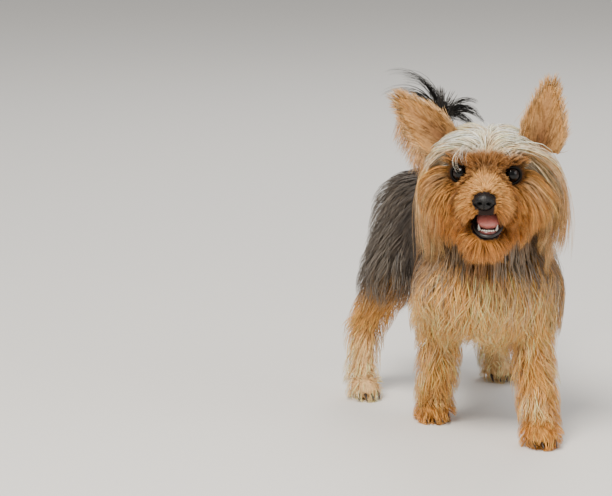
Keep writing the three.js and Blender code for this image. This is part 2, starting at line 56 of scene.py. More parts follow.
# ---- the form: balls (centre, radii) and tapering cones (two ends, two radii); coat is the depth of hair at the ends ----
FORM = {
    "chest": { "of": "trunk", "at": [0, -58, 133], "r": [32, 44, 41], "k": 12, "coat": [11, 11] },
    "prosternum": { "of": "trunk", "at": [0, -88, 121], "r": [22, 22, 26], "k": 16, "coat": [12, 12] },
    "ribs": { "of": "trunk", "at": [0, -15, 138], "r": [30, 50, 37], "k": 20, "coat": [11, 11] },
    "loin": { "of": "trunk", "at": [0, 40, 146], "r": [25, 46, 29], "k": 20, "coat": [10, 10] },
    "pelvis": { "of": "trunk", "at": [0, 72, 148], "r": [25, 32, 27], "k": 20, "coat": [8, 8] },
    "withers": { "of": "trunk", "at": [0, -62, 164], "r": [15, 30, 12], "k": 18, "coat": [8, 8] },
    "shoulder": { "of": "trunk", "a": [20, -76, 148], "b": [26, -84, 122], "ra": 16, "rb": 17, "k": 16, "coat": [8, 9], "twin": 1 },
    "bib": { "of": "trunk", "at": [0, -97, 110], "r": [30, 20, 30], "k": 16, "coat": [0, 0], "only": 1 },
    "skirt": { "of": "trunk", "at": [0, -8, 112], "r": [36, 56, 20], "k": 14, "coat": [0, 0], "only": 1 },
    "neck": { "of": "neck", "a": [0, -76, 150], "b": [-6, -106, 200], "ra": 30, "rb": 24, "k": 20, "coat": [10, 11] },
    "upperarm_left": { "of": "fore_left_upper", "a": [25, -84, 124], "b": [31, -78, 99], "ra": 17, "rb": 13, "k": 14, "coat": [9, 11] },
    "forearm_left": { "of": "fore_left_lower", "a": [31, -78, 99], "b": [30, -114, 38], "ra": 12, "rb": 8, "k": 10, "coat": [11, 8] },
    "pastern_left": { "of": "fore_left_lower", "a": [30, -114, 38], "b": [29, -124, 16], "ra": 8, "rb": 8, "k": 6, "coat": [8, 6] },
    "toes_fore_left": { "of": "fore_left_paw", "at": [28.5, -130, 9], "r": [11.5, 15, 9], "k": 6, "coat": [5, 5] },
    "upperarm_right": { "of": "fore_right_upper", "a": [-25, -84, 124], "b": [-31, -62, 101], "ra": 17, "rb": 13, "k": 14, "coat": [9, 11] },
    "forearm_right": { "of": "fore_right_lower", "a": [-31, -62, 101], "b": [-31, -42, 42], "ra": 12, "rb": 8, "k": 10, "coat": [11, 9] },
    "pastern_right": { "of": "fore_right_lower", "a": [-31, -42, 42], "b": [-30, -27, 18], "ra": 8, "rb": 8, "k": 6, "coat": [9, 6] },
    "toes_fore_right": { "of": "fore_right_paw", "at": [-29.5, -31, 9], "r": [11.5, 14.5, 9], "k": 6, "coat": [5, 5] },
    "thigh_right": { "of": "hind_right_upper", "a": [-20, 70, 148], "b": [-40, 46, 112], "ra": 25, "rb": 19, "k": 16, "coat": [7, 9] },
    "buttock_right": { "of": "hind_right_upper", "a": [-18, 84, 144], "b": [-38, 70, 104], "ra": 18, "rb": 12, "k": 14, "coat": [7, 9] },
    "gaskin_right": { "of": "hind_right_lower", "a": [-41, 48, 108], "b": [-58, 84, 55], "ra": 15.5, "rb": 8, "k": 12, "coat": [9, 8] },
    "hock_right": { "of": "hind_right_lower", "a": [-58, 84, 54], "b": [-63, 66, 20], "ra": 8, "rb": 7.8, "k": 6, "coat": [8, 8] },
    "toes_hind_right": { "of": "hind_right_paw", "at": [-64, 57, 9], "r": [11, 15, 9], "k": 6, "coat": [6, 6] },
    "thigh_left": { "of": "hind_left_upper", "a": [20, 72, 148], "b": [36, 62, 112], "ra": 25, "rb": 19, "k": 16, "coat": [7, 9] },
    "buttock_left": { "of": "hind_left_upper", "a": [18, 86, 144], "b": [34, 84, 104], "ra": 18, "rb": 12, "k": 14, "coat": [7, 9] },
    "gaskin_left": { "of": "hind_left_lower", "a": [38, 64, 108], "b": [52, 118, 58], "ra": 15.5, "rb": 8, "k": 12, "coat": [9, 8] },
    "hock_left": { "of": "hind_left_lower", "a": [52, 118, 57], "b": [58, 106, 20], "ra": 8, "rb": 7.8, "k": 6, "coat": [8, 6] },
    "toes_hind_left": { "of": "hind_left_paw", "at": [59, 98, 9], "r": [11, 15, 9], "k": 6, "coat": [5, 5] },
    "cranium": { "of": "head", "at": [0, 27, 2.5], "r": [30, 33, 25], "k": 8, "coat": [8, 8], "head": 1 },
    "forehead": { "of": "head", "at": [0, 9, 5], "r": [24, 17, 14], "k": 8, "coat": [6, 6], "head": 1 },
    "brow": { "of": "head", "at": [14, 0, 7], "r": [9, 7, 6], "k": 5, "coat": [4, 4], "twin": 1, "head": 1 },
    "cheek": { "of": "head", "at": [21, 16, -13], "r": [13, 19, 15], "k": 10, "coat": [12, 12], "twin": 1, "head": 1 },
    "muzzle": { "of": "head", "a": [0, 0, -13], "b": [0, -27, -16.5], "ra": 14.5, "rb": 9.5, "k": 8, "coat": [6, 3], "head": 1 },
    "lip": { "of": "head", "a": [8, -9, -20], "b": [5, -28, -20.5], "ra": 8, "rb": 6, "k": 5, "coat": [7, 3.5], "twin": 1, "head": 1 },
    "fall_left": { "of": "head", "at": [37, 16, -18], "r": [18, 25, 42], "k": 10, "coat": [0, 0], "only": 1, "head": 1 },
    "fall_right": { "of": "head", "at": [-31, 16, -20], "r": [16.5, 25, 42], "k": 10, "coat": [0, 0], "only": 1, "head": 1 },
    "moustache": { "of": "head", "at": [20, -10, -27], "r": [13, 14, 15], "k": 8, "coat": [0, 0], "twin": 1, "only": 1, "head": 1 },
    "jawbone": { "of": "jaw", "a": [15, 18, -25], "b": [5, -15, -46], "ra": 9, "rb": 6, "k": 8, "coat": [10, 6], "twin": 1, "head": 1 },
    "chin": { "of": "jaw", "at": [0, -17, -47.5], "r": [10, 8, 5.5], "k": 5, "coat": [7, 7], "head": 1 },
    "throat": { "of": "jaw", "at": [0, 24, -22], "r": [22, 24, 15], "k": 14, "coat": [10, 10], "head": 1 },
    "beard": { "of": "jaw", "at": [0, 4, -54], "r": [34, 20, 18], "k": 12, "coat": [0, 0], "only": 1, "head": 1 },
    "tail_root": { "of": "tail", "a": [0, 90, 166], "b": [6, 104, 198], "ra": 9.5, "rb": 7, "k": 8, "coat": [6, 7] },
    "tail_tip": { "of": "tail", "a": [6, 104, 198], "b": [11, 106, 229], "ra": 7, "rb": 4.5, "k": 5, "coat": [7, 8] },
}

def unit(v):
    return v / np.maximum(np.linalg.norm(v, axis=-1, keepdims=True), 1e-9)

cy, sy = math.cos(math.radians(-HEAD_YAW)), math.sin(math.radians(-HEAD_YAW))
cr, sr = math.cos(math.radians(HEAD_ROLL)), math.sin(math.radians(HEAD_ROLL))
HEAD_TURN = np.array([[cy, -sy, 0], [sy, cy, 0], [0, 0, 1]]) @ np.array([[cr, 0, sr], [0, 1, 0], [-sr, 0, cr]])

def to_head(p):
    return (p - HEAD_AT) @ HEAD_TURN

def from_head(p):
    return np.asarray(p, float) @ HEAD_TURN.T + HEAD_AT

MASSES = []
for name, m in FORM.items():
    for side in (1, -1) if m.get("twin") else (1,):
        def place(q):
            q = np.array(q, float) * [side, 1, 1]
            return from_head(q) if m.get("head") else q
        e = {"name": name, "of": m["of"], "k": m["k"], "head": m.get("head"), "only": m.get("only"), "coat": m["coat"]}
        if "a" in m:
            e.update(a=place(m["a"]), b=place(m["b"]), ra=m["ra"], rb=m["rb"])
        else:
            e.update(at=place(m["at"]), r=np.array(m["r"], float))
        MASSES.append(e)

def mass_distance(m, p, coat):
    ca, cb = m["coat"] if coat else (0, 0)
    if "a" in m:
        ba = m["b"] - m["a"]
        h = np.clip(((p - m["a"]) @ ba) / (ba @ ba), 0, 1)
        return np.linalg.norm(p - m["a"] - h[..., None] * ba, axis=-1) - (m["ra"] + ca) * (1 - h) - (m["rb"] + cb) * h
    q = p - m["at"]
    if m["head"]:
        q = q @ HEAD_TURN
    r = m["r"] + ca
    q = q / r
    k0 = np.linalg.norm(q, axis=-1)
    k1 = np.linalg.norm(q / r, axis=-1)
    return np.where(k0 < 1e-3, -r.min(), k0 * (k0 - 1) / np.maximum(k1, 1e-6))

def blend(a, b, k):
    h = np.clip(0.5 + 0.5 * (b - a) / k, 0, 1)
    return b + (a - b) * h - k * h * (1 - h)

LOW, HIGH = np.array([-112.0, -208.0, -6.0]), np.array([112.0, 160.0, 268.0])
SIZE = np.ceil((HIGH - LOW) / GRID).astype(int) + 1
AXES = [LOW[i] + GRID * np.arange(SIZE[i]) for i in range(3)]

def field(coat):
    """The signed distance to the bare flesh, or to the outline of the coat, on the grid."""
    d = np.full(SIZE, 40.0, np.float32)
    for m in MASSES:
        if m["only"] and not coat:
            continue
        c = max(m["coat"]) if coat else 0
        if "a" in m:
            lo = np.minimum(m["a"] - m["ra"] - c, m["b"] - m["rb"] - c)
            hi = np.maximum(m["a"] + m["ra"] + c, m["b"] + m["rb"] + c)
        else:
            r = np.full(3, m["r"].max() + c) if m["head"] else m["r"] + c
            lo, hi = m["at"] - r, m["at"] + r
        pad = 34 if coat else 26
        i0 = np.clip(((lo - pad - LOW) / GRID).astype(int), 0, SIZE - 1)
        i1 = np.clip(((hi + pad - LOW) / GRID).astype(int) + 2, 1, SIZE)
        s = tuple(slice(a, b) for a, b in zip(i0, i1))
        p = np.stack(np.meshgrid(*[AXES[i][s[i]] for i in range(3)], indexing="ij"), -1)
        d[s] = blend(d[s], mass_distance(m, p, coat), m["k"])
    return d

def ball(p, at, r):
    q = (p - at) / r
    k0 = np.linalg.norm(q, axis=-1)
    return np.where(k0 < 1e-3, -np.min(r), k0 * (k0 - 1) / np.maximum(np.linalg.norm(q / r, axis=-1), 1e-6))

FLESH, COAT = field(False), field(True)

def carve(d):
    """Eye sockets, the nose's seat and the mouth."""
    i0 = np.clip(((HEAD_AT - 60 - LOW) / GRID).astype(int), 0, SIZE - 1)
    i1 = np.clip(((HEAD_AT + 60 - LOW) / GRID).astype(int), 1, SIZE)
    s = tuple(slice(a, b) for a, b in zip(i0, i1))
    p = to_head(np.stack(np.meshgrid(*[AXES[i][s[i]] for i in range(3)], indexing="ij"), -1))
    d = d.copy()
    e = d[s]
    for side in (1, -1):
        at = EYE_AT * [side, 1, 1]
        e = np.maximum(e, -ball(p, at, np.full(3, EYE_R + 0.7)))
        e = np.maximum(e, -ball(p, at + [2 * side, -10, 0], np.array([8.4, 10, 7.8])))
    e = np.maximum(e, -ball(p, NOSE_AT, NOSE_R - 0.5))
    e = np.maximum(e, -ball(p, MOUTH_AT, MOUTH_R))
    d[s] = e
    return d

BARE = carve(FLESH)
SLOPE = [g.astype(np.float32) / GRID for g in np.gradient(FLESH)]
COAT_SLOPE = [g.astype(np.float32) / GRID for g in np.gradient(COAT)]

def sample(grid, p):
    q = (p - LOW) / GRID
    q = np.clip(q, 0, np.array(grid.shape) - 1.001)
    i = q.astype(int)
    f = q - i
    out = 0
    for c in range(8):
        o = np.array([c & 1, (c >> 1) & 1, c >> 2])
        w = np.prod(np.where(o, f, 1 - f), -1)
        j = i + o
        out = out + w * grid[j[..., 0], j[..., 1], j[..., 2]]
    return out

def slope(p, grids=None):
    return unit(np.stack([sample(g, p) for g in (grids or SLOPE)], -1))

# ---- meshes ----
def make_mesh(name, points, tris, colours=None, uv=None, smooth=True):
    me = bpy.data.meshes.new(name)
    points = (np.asarray(points, float) + ORIGIN) / 1000
    me.vertices.add(len(points))
    me.vertices.foreach_set("co", points.astype(np.float32).ravel())
    k = tris.shape[1]
    me.loops.add(tris.size)
    me.loops.foreach_set("vertex_index", tris.astype(np.int32).ravel())
    me.polygons.add(len(tris))
    me.polygons.foreach_set("loop_start", np.arange(0, tris.size, k, dtype=np.int32))
    me.polygons.foreach_set("use_smooth", np.full(len(tris), smooth))
    me.update(calc_edges=True)
    if colours is not None:
        a = me.color_attributes.new("Col", "FLOAT_COLOR", "POINT")
        rgba = np.concatenate([colours, np.ones((len(colours), 1))], 1)
        a.data.foreach_set("color", rgba.astype(np.float32).ravel())
    if uv is not None:
        layer = me.uv_layers.new(name="OFBake")
        layer.data.foreach_set("uv", uv[tris.ravel()].astype(np.float32).ravel())
    ob = bpy.data.objects.new(name, me)
    bpy.context.scene.collection.objects.link(ob)
    return ob

def linear(r, g, b):
    c = np.array([r, g, b]) / 255
    return np.where(c <= 0.04045, c / 12.92, ((c + 0.055) / 1.055) ** 2.4)

def surface_net(d):
    """The zero surface of a field on the grid, as quads facing out."""
    s = d < 0
    corners = [(c & 1, (c >> 1) & 1, c >> 2) for c in range(8)]
    n = [x - 1 for x in d.shape]
    count = sum(s[x : x + n[0], y : y + n[1], z : z + n[2]].astype(np.int8) for x, y, z in corners)
    cells = np.argwhere((count > 0) & (count < 8))
    v = np.stack([d[cells[:, 0] + x, cells[:, 1] + y, cells[:, 2] + z] for x, y, z in corners], 1)
    total, hits = np.zeros((len(cells), 3)), np.zeros(len(cells))
    for a in range(8):
        for b in range(a + 1, 8):
            if bin(a ^ b).count("1") > 1:
                continue
            cross = (v[:, a] < 0) != (v[:, b] < 0)
            t = np.where(cross, v[:, a] / np.where(cross, v[:, a] - v[:, b], 1), 0)
            pa, pb = np.array(corners[a]), np.array(corners[b])
            total += np.where(cross[:, None], pa + t[:, None] * (pb - pa), 0)
            hits += cross
    points = LOW + GRID * (cells + total / hits[:, None])
    index = np.full(d.shape, -1, np.int64)
    index[tuple(cells.T)] = np.arange(len(cells))
    quads = []
    for axis in range(3):
        o = [np.array(x) for x in ([1, 0, 0], [0, 1, 0], [0, 0, 1])]
        e, u, w = o[axis], o[(axis + 1) % 3], o[(axis + 2) % 3]
        lo = s[tuple(slice(0, -1) if i == axis else slice(1, None) for i in range(3))]
        hi = s[tuple(slice(1, None) for i in range(3))]
        c = np.argwhere(lo != hi) + (u + w)
        inside = s[tuple(c.T)]
        q = np.stack([index[tuple((c - u - w).T)], index[tuple((c - w).T)], index[tuple(c.T)], index[tuple((c - u).T)]], 1)
        q[~inside] = q[~inside][:, ::-1]
        quads.append(q)
    return points, np.concatenate(quads)

# ---- markings and painted shade: one colour for every place on the dog, used by skin and hair alike ----
SILVER, BLOND, GOLD, BROWN = linear(255, 241, 214), linear(240, 186, 110), linear(190, 126, 56), linear(80, 48, 22)
# FLANK is the steel darkened as painted shade for the underside of the body
CREAM, MUZZLE, STEEL, FLANK = linear(246, 198, 134), linear(212, 148, 72), linear(76, 67, 59), linear(46, 39, 31)
GREY, TAN, PAW, TAIL = linear(138, 128, 116), linear(226, 164, 84), linear(218, 154, 76), linear(40, 36, 33)
SMOKE, LIP, PINK = linear(150, 122, 90), linear(24, 19, 19), linear(150, 96, 76)

def ramp(x, a, b):
    t = np.clip((x - a) / (b - a), 0, 1)
    return t * t * (3 - 2 * t)

def mix(a, b, t):
    t = np.asarray(t, float)[..., None]
    return a * (1 - t) + b * t

def waves(p, seed, scale):
    """Smooth random values from -1 to 1 over space."""
    g = np.random.default_rng(seed)
    out = 0
    for _ in range(5):
        k = unit(g.normal(size=3)) * g.uniform(0.6, 1.5) / scale
        out = out + np.sin(p @ k * 6.283 + g.uniform(0, 6.283))
    return out / 2.6

def region_of(p):
    """Which part of the body each point lies nearest."""
    best, who = np.full(len(p), 1e9), np.zeros(len(p), int)
    for i, m in enumerate(MASSES):
        if m["only"]:
            continue
        d = mass_distance(m, p, False)
        closer = d < best
        best, who = np.where(closer, d, best), np.where(closer, i, who)
    return who

PART_OF = np.array([m["of"] for m in MASSES])
NAME_OF = np.array([m["name"] for m in MASSES])

def markings_and_painted_shade(p, who):
    h = to_head(p)
    part = PART_OF[who]
    c = np.tile(STEEL, (len(p), 1))
    w1, w2 = waves(p, 1, 26), waves(p, 2, 9)
    # trunk: dark steel back, lower flank darker as painted shade under the body, pale chest and belly front
    c = mix(c, FLANK, ramp(p[:, 2], 150, 112) * ramp(p[:, 1], -70, -40))
    chest = ramp(p[:, 1] + 0.25 * (p[:, 2] - 120), -72, -90) * ramp(np.abs(p[:, 0]), 40, 24) * ramp(p[:, 2], 190, 172)
    c = mix(c, mix(mix(TAN, CREAM, 0.75), BLOND, 0.5 + 0.5 * w2), chest)
    shoulder = ramp(p[:, 1], -50, -74) * ramp(p[:, 2], 150, 122)
    c = mix(c, TAN, np.clip(shoulder - chest, 0, 1) * 0.9)
    neck = part == "neck"
    c[neck] = mix(GREY, SMOKE, 0.5 + 0.5 * w1[neck])
    # front of the neck: the darker gold near x -20 is painted shadow under the chin; grey towards the sides is the
    # coat's own
    front = neck & (p[:, 1] < -104)
    c[front] = mix(linear(146, 102, 58), linear(142, 126, 108), np.clip(ramp(np.abs(p[front, 0] + 20), 6, 26) + 0.5 * w2[front], 0, 1))
    fore = np.char.startswith(part, "fore")
    c[fore] = mix(mix(TAN, CREAM, 0.45 * np.clip(w2[fore], 0, 1)), PAW, ramp(p[fore, 2], 34, 14))
    hind = np.char.startswith(part, "hind")
    z = p[hind, 2]
    c[hind] = mix(mix(mix(STEEL, GREY, 0.35), TAN, ramp(z, 112, 78)), linear(250, 208, 152), 0.85 * ramp(z, 78, 30))
    tail = part == "tail"
    c[tail] = mix(TAIL, GREY, 0.25 * np.clip(w1[tail], 0, 1))
    head = (part == "head") | (part == "jaw")
    x, y, z = np.abs(h[:, 0]), h[:, 1], h[:, 2]
    f = mix(GOLD, MUZZLE, 0.35 + 0.35 * w2)
    f = mix(f, mix(SILVER, BLOND, np.clip(0.08 + 0.45 * w2, 0, 0.7)), ramp(z - 0.3 * np.clip(y, 0, 40) + 0.04 * x, 9, 16))  # the pale crown
    side = ramp(x, 22, 31) * ramp(y, -6, 6) * ramp(z, -24, -8)
    f = mix(f, mix(mix(BLOND, GOLD, np.clip(0.3 + 0.5 * w2, 0, 0.8)), SILVER, np.clip(w1, 0, 1) * 0.6), side * 0.75)
    f = mix(f, mix(GREY, SMOKE, 0.5 + 0.5 * w1), ramp(y, 34, 48))
    # brown round the eyes: partly the dark fur there, partly painted shade from the hair above them
    round_eye = np.exp(-(((x - 18.0) / 12.5) ** 2 + ((z - 1.5) / 12.0) ** 2)) * ramp(y, 14, 4)
    f = mix(f, BROWN, np.clip(round_eye * 0.95, 0, 1))
    f = mix(f, mix(MUZZLE, CREAM, 0.3), 0.75 * np.exp(-((x / 11) ** 2)) * ramp(y, -4, -16) * ramp(z, -24, -14))
    # brown between the eyes: painted shade under the brow
    between = np.exp(-((x / 9) ** 2)) * ramp(y, 4, -6) * ramp(z, -6, 0) * ramp(z, 14, 8)
    f = mix(f, BROWN, between * 0.75)
    # darker gold on the forehead: painted shade under the crown's hair
    forehead = np.exp(-((x / 24) ** 2)) * ramp(z, 1, 6) * ramp(z, 15, 9) * ramp(y, 8, 0)
    f = mix(f, mix(BROWN, GOLD, 0.4), 0.75 * forehead)
    under = ramp(z, -30, -40)
    f = mix(f, mix(GOLD, MUZZLE, 0.4 + 0.4 * w2), under)
    f = mix(f, linear(160, 98, 40), 0.55 * ramp(ball(h, MOUTH_AT, MOUTH_R), 15, 3))
    c[head] = f[head]
    return c

# ---- skin ----
skin_points, skin_quads = surface_net(BARE)
skin_who = region_of(skin_points)
# the skin is the markings darkened to 0.72: painted shade deep under the coat
skin_colour = markings_and_painted_shade(skin_points, skin_who) * 0.72
hp = to_head(skin_points)
inside_mouth = ball(hp, MOUTH_AT, MOUTH_R)
mouthy = (inside_mouth < 2.4) & (hp[:, 1] < 6)
skin_colour[mouthy] = LIP
skin_colour[(inside_mouth < 0.9) & (hp[:, 1] > -18)] = linear(96, 46, 44)
skin_colour[ball(hp, NOSE_AT, NOSE_R) < 1.5] = LIP
skin_colour[(np.abs(hp[:, 0] - 1.5) < 6.5) & (hp[:, 1] < -20) & (hp[:, 2] < -20) & (hp[:, 2] > -30)] = linear(38, 26, 22)
for s in (1, -1):
    skin_colour[ball(hp, EYE_AT * [s, 1, 1], np.full(3, EYE_R)) < 3.0] = linear(40, 26, 18)
skin = make_mesh("skin", skin_points, skin_quads, skin_colour)
bpy.context.view_layer.objects.active = skin
skin.select_set(True)
skin.data.uv_layers.new(name="OFBake")
bpy.ops.object.mode_set(mode="EDIT")
bpy.ops.mesh.select_all(action="SELECT")
bpy.ops.uv.smart_project(angle_limit=1.2, island_margin=0.002)
bpy.ops.object.mode_set(mode="OBJECT")
skin.select_set(False)
skin_uv = np.empty(len(skin_quads) * 8, np.float32)
skin.data.uv_layers["OFBake"].data.foreach_get("uv", skin_uv)
skin_uv = skin_uv.reshape(-1, 4, 2)

# ---- where hair grows ----
A, B, C = skin_points[skin_quads[:, 0]], skin_points[skin_quads[:, 1]], skin_points[skin_quads[:, 2]]
D = skin_points[skin_quads[:, 3]]
quad_area = 0.5 * (np.linalg.norm(np.cross(B - A, C - A), axis=1) + np.linalg.norm(np.cross(C - A, D - A), axis=1))
middle = (A + B + C + D) / 4
quad_who = region_of(middle)
quad_part = PART_OF[quad_who]
hm = to_head(middle)
bald = (ball(hm, MOUTH_AT, MOUTH_R) < 1.6) | ((np.abs(hm[:, 0] - 1.5) < 7.5) & (hm[:, 1] < -22) & (hm[:, 2] < -20) & (hm[:, 2] > -30)) | (ball(hm, NOSE_AT, NOSE_R) < 0.8) | (middle[:, 2] < 1.2)
for s in (1, -1):
    bald |= np.linalg.norm(hm - EYE_AT * [s, 1, 1], axis=1) < EYE_R + 1.6

def roots(count, where, weight=None):
    w = np.where(where & ~bald, quad_area, 0) * (1 if weight is None else weight)
    q = rng.choice(len(w), count, p=w / w.sum())
    u, v = rng.random(count), rng.random(count)
    k = [(1 - u) * (1 - v), u * (1 - v), u * v, (1 - u) * v]
    quad = skin_quads[q]
    p = sum(k[i][:, None] * skin_points[quad[:, i]] for i in range(4))
    uv = sum(k[i][:, None] * skin_uv[q, i] for i in range(4))
    return p, uv, quad_who[q]

# ---- how hair grows ----
def grow(root, flow, length, rings, *, lift=0.35, gravity=0.25, layer=None, curl=0.0, clump=0.6, lock=14, depth=None, normal=None, follow=None, spill=2.5):
    """Centre lines of locks: out of the skin, along the flow, down with gravity, held off the flesh by their layer of the coat."""
    n = len(root)
    layer = rng.random(n) ** 0.8 if layer is None else layer
    depth = np.clip(sample(FLESH, root) - sample(COAT, root), 2, 30) if depth is None else depth
    normal = slope(root) if normal is None else normal
    flow = unit(flow - np.sum(flow * normal, -1, keepdims=True) * normal * 0.85)
    d = unit(normal * lift + flow * (1 - lift) + rng.normal(size=(n, 3)) * 0.05)
    p = root - normal * 0.6
    line = [p]
    step = length / (rings - 1)
    down = np.array([0, 0, -1.0])
    phase = rng.uniform(0, 6.283, n)
    for i in range(1, rings):
        t = i / (rings - 1)
        lead = follow(p) if follow else flow
        d = unit(d + down * gravity * 0.6 + lead * 0.22 + rng.normal(size=(n, 3)) * 0.035)
        if np.any(curl):
            side = unit(np.cross(d, normal))
            d = unit(d + side * (curl * np.sin(phase + 5.0 * t))[:, None])
        p = p + d * step[:, None]
        f = sample(FLESH, p)
        want = layer * depth * min(1, 0.25 + 1.1 * t) + 0.35
        g = slope(p)
        push = np.clip(want - f, 0, 6)
        p = p + g * push[:, None]
        out = sample(COAT, p) - spill
        p = p - slope(p, COAT_SLOPE) * np.clip(out, 0, 4)[:, None] * 0.7
        p[:, 2] = np.maximum(p[:, 2], 0.5)
        d = unit(p - line[-1])
        line.append(p)
    line = np.stack(line, 1)
    # gather into locks round their leaders
    leaders = rng.choice(n, max(8, n // lock), replace=False)
    tree = KDTree(len(leaders))
    for i, k in enumerate(leaders):
        tree.insert(Vector(root[k]), i)
    tree.balance()
    near = leaders[np.array([tree.find(Vector(r))[1] for r in root])]
    t = np.linspace(0, 1, rings)[None, :, None]
    pull = clump * (t ** 1.3) * np.clip(1 - np.linalg.norm(root - root[near], axis=1) / 22, 0.1, 1)[:, None, None]
    spread = line[near] + (root - root[near])[:, None, :] * 0.15
    return line * (1 - pull) + spread * pull

def tubes(line, radius, flat=0.55, sway=0.0, tip=0.08):
    """Closed three-sided tapering locks along centre lines."""
    n, k = line.shape[:2]
    d = unit(np.gradient(line, axis=1))
    g = slope(line.reshape(-1, 3)).reshape(line.shape)
    u = unit(np.cross(d, g) + 1e-4)
    v = unit(np.cross(u, d))
    t = np.linspace(0, 1, k)[None, :]
    r = radius[:, None] * np.where(t < 0.3, 0.75 + 0.25 * t / 0.3, 1 - ((t - 0.3) / 0.7) ** 1.7 * (1 - tip))
    ring = []
    for a in (0.5, 2.594, 4.689):
        ring.append(line[:, :-1] + r[:, :-1, None] * (math.cos(a) * u[:, :-1] + flat * math.sin(a) * v[:, :-1]))
    ring = np.stack(ring, 2)  # n, k-1, 3, xyz
    points = np.concatenate([ring.reshape(n, -1, 3), line[:, -1:]], 1)
    tris = [[0, 2, 1]]
    for j in range(k - 2):
        for a in range(3):
            b = (a + 1) % 3
            i, m = 3 * j, 3 * (j + 1)
            tris += [[i + a, i + b, m + b], [i + a, m + b, m + a]]
    last = 3 * (k - 2)
    for a in range(3):
        tris.append([last + a, last + (a + 1) % 3, 3 * (k - 1)])
    tris = np.array(tris)
    per = 3 * (k - 1) + 1
    tris = (tris[None] + per * np.arange(n)[:, None, None]).reshape(-1, 3)
    along = np.concatenate([np.repeat(np.linspace(0, 1, k)[:-1], 3), [1.0]])
    around = np.concatenate([np.tile([0, 0.5, 1.0], k - 1), [0.5]])
    return points.reshape(-1, 3), tris, along, around, per

COAT_PIECES = []

def coat_piece(name, batches):
    """Joins batches of locks: each is (line, radius, colour at the root, colour at the tip, uv at the root)."""
    P, T, K, U, base = [], [], [], [], 0
    for line, radius, c0, c1, uv in batches:
        points, tris, along, around, per = tubes(line, radius)
        n = len(line)
        value = np.exp(rng.normal(0, 0.2, n))[:, None, None]
        warm = rng.normal(0, 0.05, n)[:, None, None] * np.array([1, 0.2, -1.0])
        a = along[None, :, None]
        # each lock is darkened towards its root (to 0.72): painted shade deep in the coat
        colour = (c0[:, None, :] * (1 - a) + c1[:, None, :] * a) * value * (1 + warm) * (0.72 + 0.28 * np.clip(a * 2.2, 0, 1))
        patch = np.stack([around - 0.5, along - 0.5], -1)[None] * 0.003 + uv[:, None, :]
        P.append(points); T.append(tris + base); K.append(np.clip(colour.reshape(-1, 3), 0, 0.95)); U.append(patch.reshape(-1, 2))
        base += len(points)
    ob = make_mesh(name, np.concatenate(P), np.concatenate(T), np.concatenate(K), np.concatenate(U))
    COAT_PIECES.append(ob)
    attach(ob, "root")
    print("piece", name, len(ob.data.polygons), flush=True)
    return ob

def skin_patch(p):
    """The place on the skin's unwrap nearest to each point."""
    near = np.flatnonzero(quad_part == "head")
    tree = KDTree(len(near))
    for i, q in enumerate(near):
        tree.insert(Vector(middle[q]), int(q))
    tree.balance()
    q = np.array([tree.find(Vector(x))[1] for x in p])
    return skin_uv[q].mean(1)

# ---- the lie of the coat ----
def world(v):
    return v @ HEAD_TURN.T

def vec(n, x, y, z):
    return np.stack([np.broadcast_to(np.asarray(a, float), (n,)) for a in (x, y, z)], -1)

def head_flow(p):
    h = to_head(p)
    n = len(p)
    x, y, z = h.T
    side = x / (np.abs(x) + 2.5)
    top = ramp(z, -2, 14)[:, None]
    v = vec(n, 0.95 * side, 0.35, -0.25) * top + vec(n, 0.1 * side, 0.1, -1) * (1 - top)
    brow = (ramp(y, 8, -4) * ramp(z, 0, 6))[:, None]
    v = v * (1 - brow) + vec(n, 0.85 * side, 0.5, 0.12) * brow
    snout = (ramp(y, -6, -12) * ramp(z, 0, -6))[:, None]
    low = ramp(z, -17, -24)[:, None]
    v = v * (1 - snout) + (vec(n, 0.95 * side, 0.5, -0.2) * (1 - low) + vec(n, 0.7 * side, 0.3, -0.75) * low) * snout
    bridge = (np.exp(-((x / 7) ** 2)) * ramp(y, 0, -6) * ramp(y, -26, -18) * ramp(z, -20, -12))[:, None]
    v = v * (1 - 0.85 * bridge) + vec(n, 0.3 * side, 0.65, 0.8) * 0.85 * bridge
    for s in (1, -1):
        e = h - EYE_AT * [s, 1, 1]
        near = np.exp(-((np.linalg.norm(e, axis=1) / 13.5) ** 4))[:, None]
        away = unit(e * [1, 0.3, 1]) + [0.25 * s, 0.25, -0.1]
        v = v * (1 - near) + away * near
    return unit(world(v))

def body_flow(p, who):
    n = len(p)
    x, y, z = p.T
    side = x / (np.abs(x) + 3)
    over = ramp(z, 150, 178)
    v = vec(n, side * (0.25 + 1.1 * over), 0.35, -1.0 + 0.5 * over)
    front = ramp(y, -72, -96)[:, None]
    v = v * (1 - front) + vec(n, 0.15 * side, -0.1, -1) * front
    for i, m in enumerate(MASSES):
        if "a" in m and (m["of"].startswith("fore") or m["of"].startswith("hind")):
            w = who == i
            v[w] = unit(m["b"] - m["a"]) * 0.8 + [0.28 if m["of"].startswith("fore") else -0.2, 0.12, -0.5]
        if m["name"].startswith("toes"):
            w = who == i
            v[w] = vec(w.sum(), 0, -0.7, -0.7)
    return unit(v)

def batch(count, where, flow, length, rings, radius, weight=None, tip=1.25, shade=None, tip_shade=None, **how):
    p, uv, who = roots(count, where, weight)
    size = length(p, who) if callable(length) else np.full(count, float(length))
    size = size * rng.uniform(0.72, 1.15, count)
    line = grow(p, flow(p, who), size, rings, **how)
    c0 = shade(p) if shade else markings_and_painted_shade(p, who)
    c1 = tip_shade(p) if tip_shade else c0 * tip + 0.02
    pale = (rng.random(count) < 0.16)[:, None]
    c0, c1 = np.where(pale, c0 * 1.12, c0), np.where(pale, c1 * 1.14 + [0.02, 0.014, 0.008], c1)
    return line, radius * rng.uniform(0.7, 1.3, count), c0, c1, uv

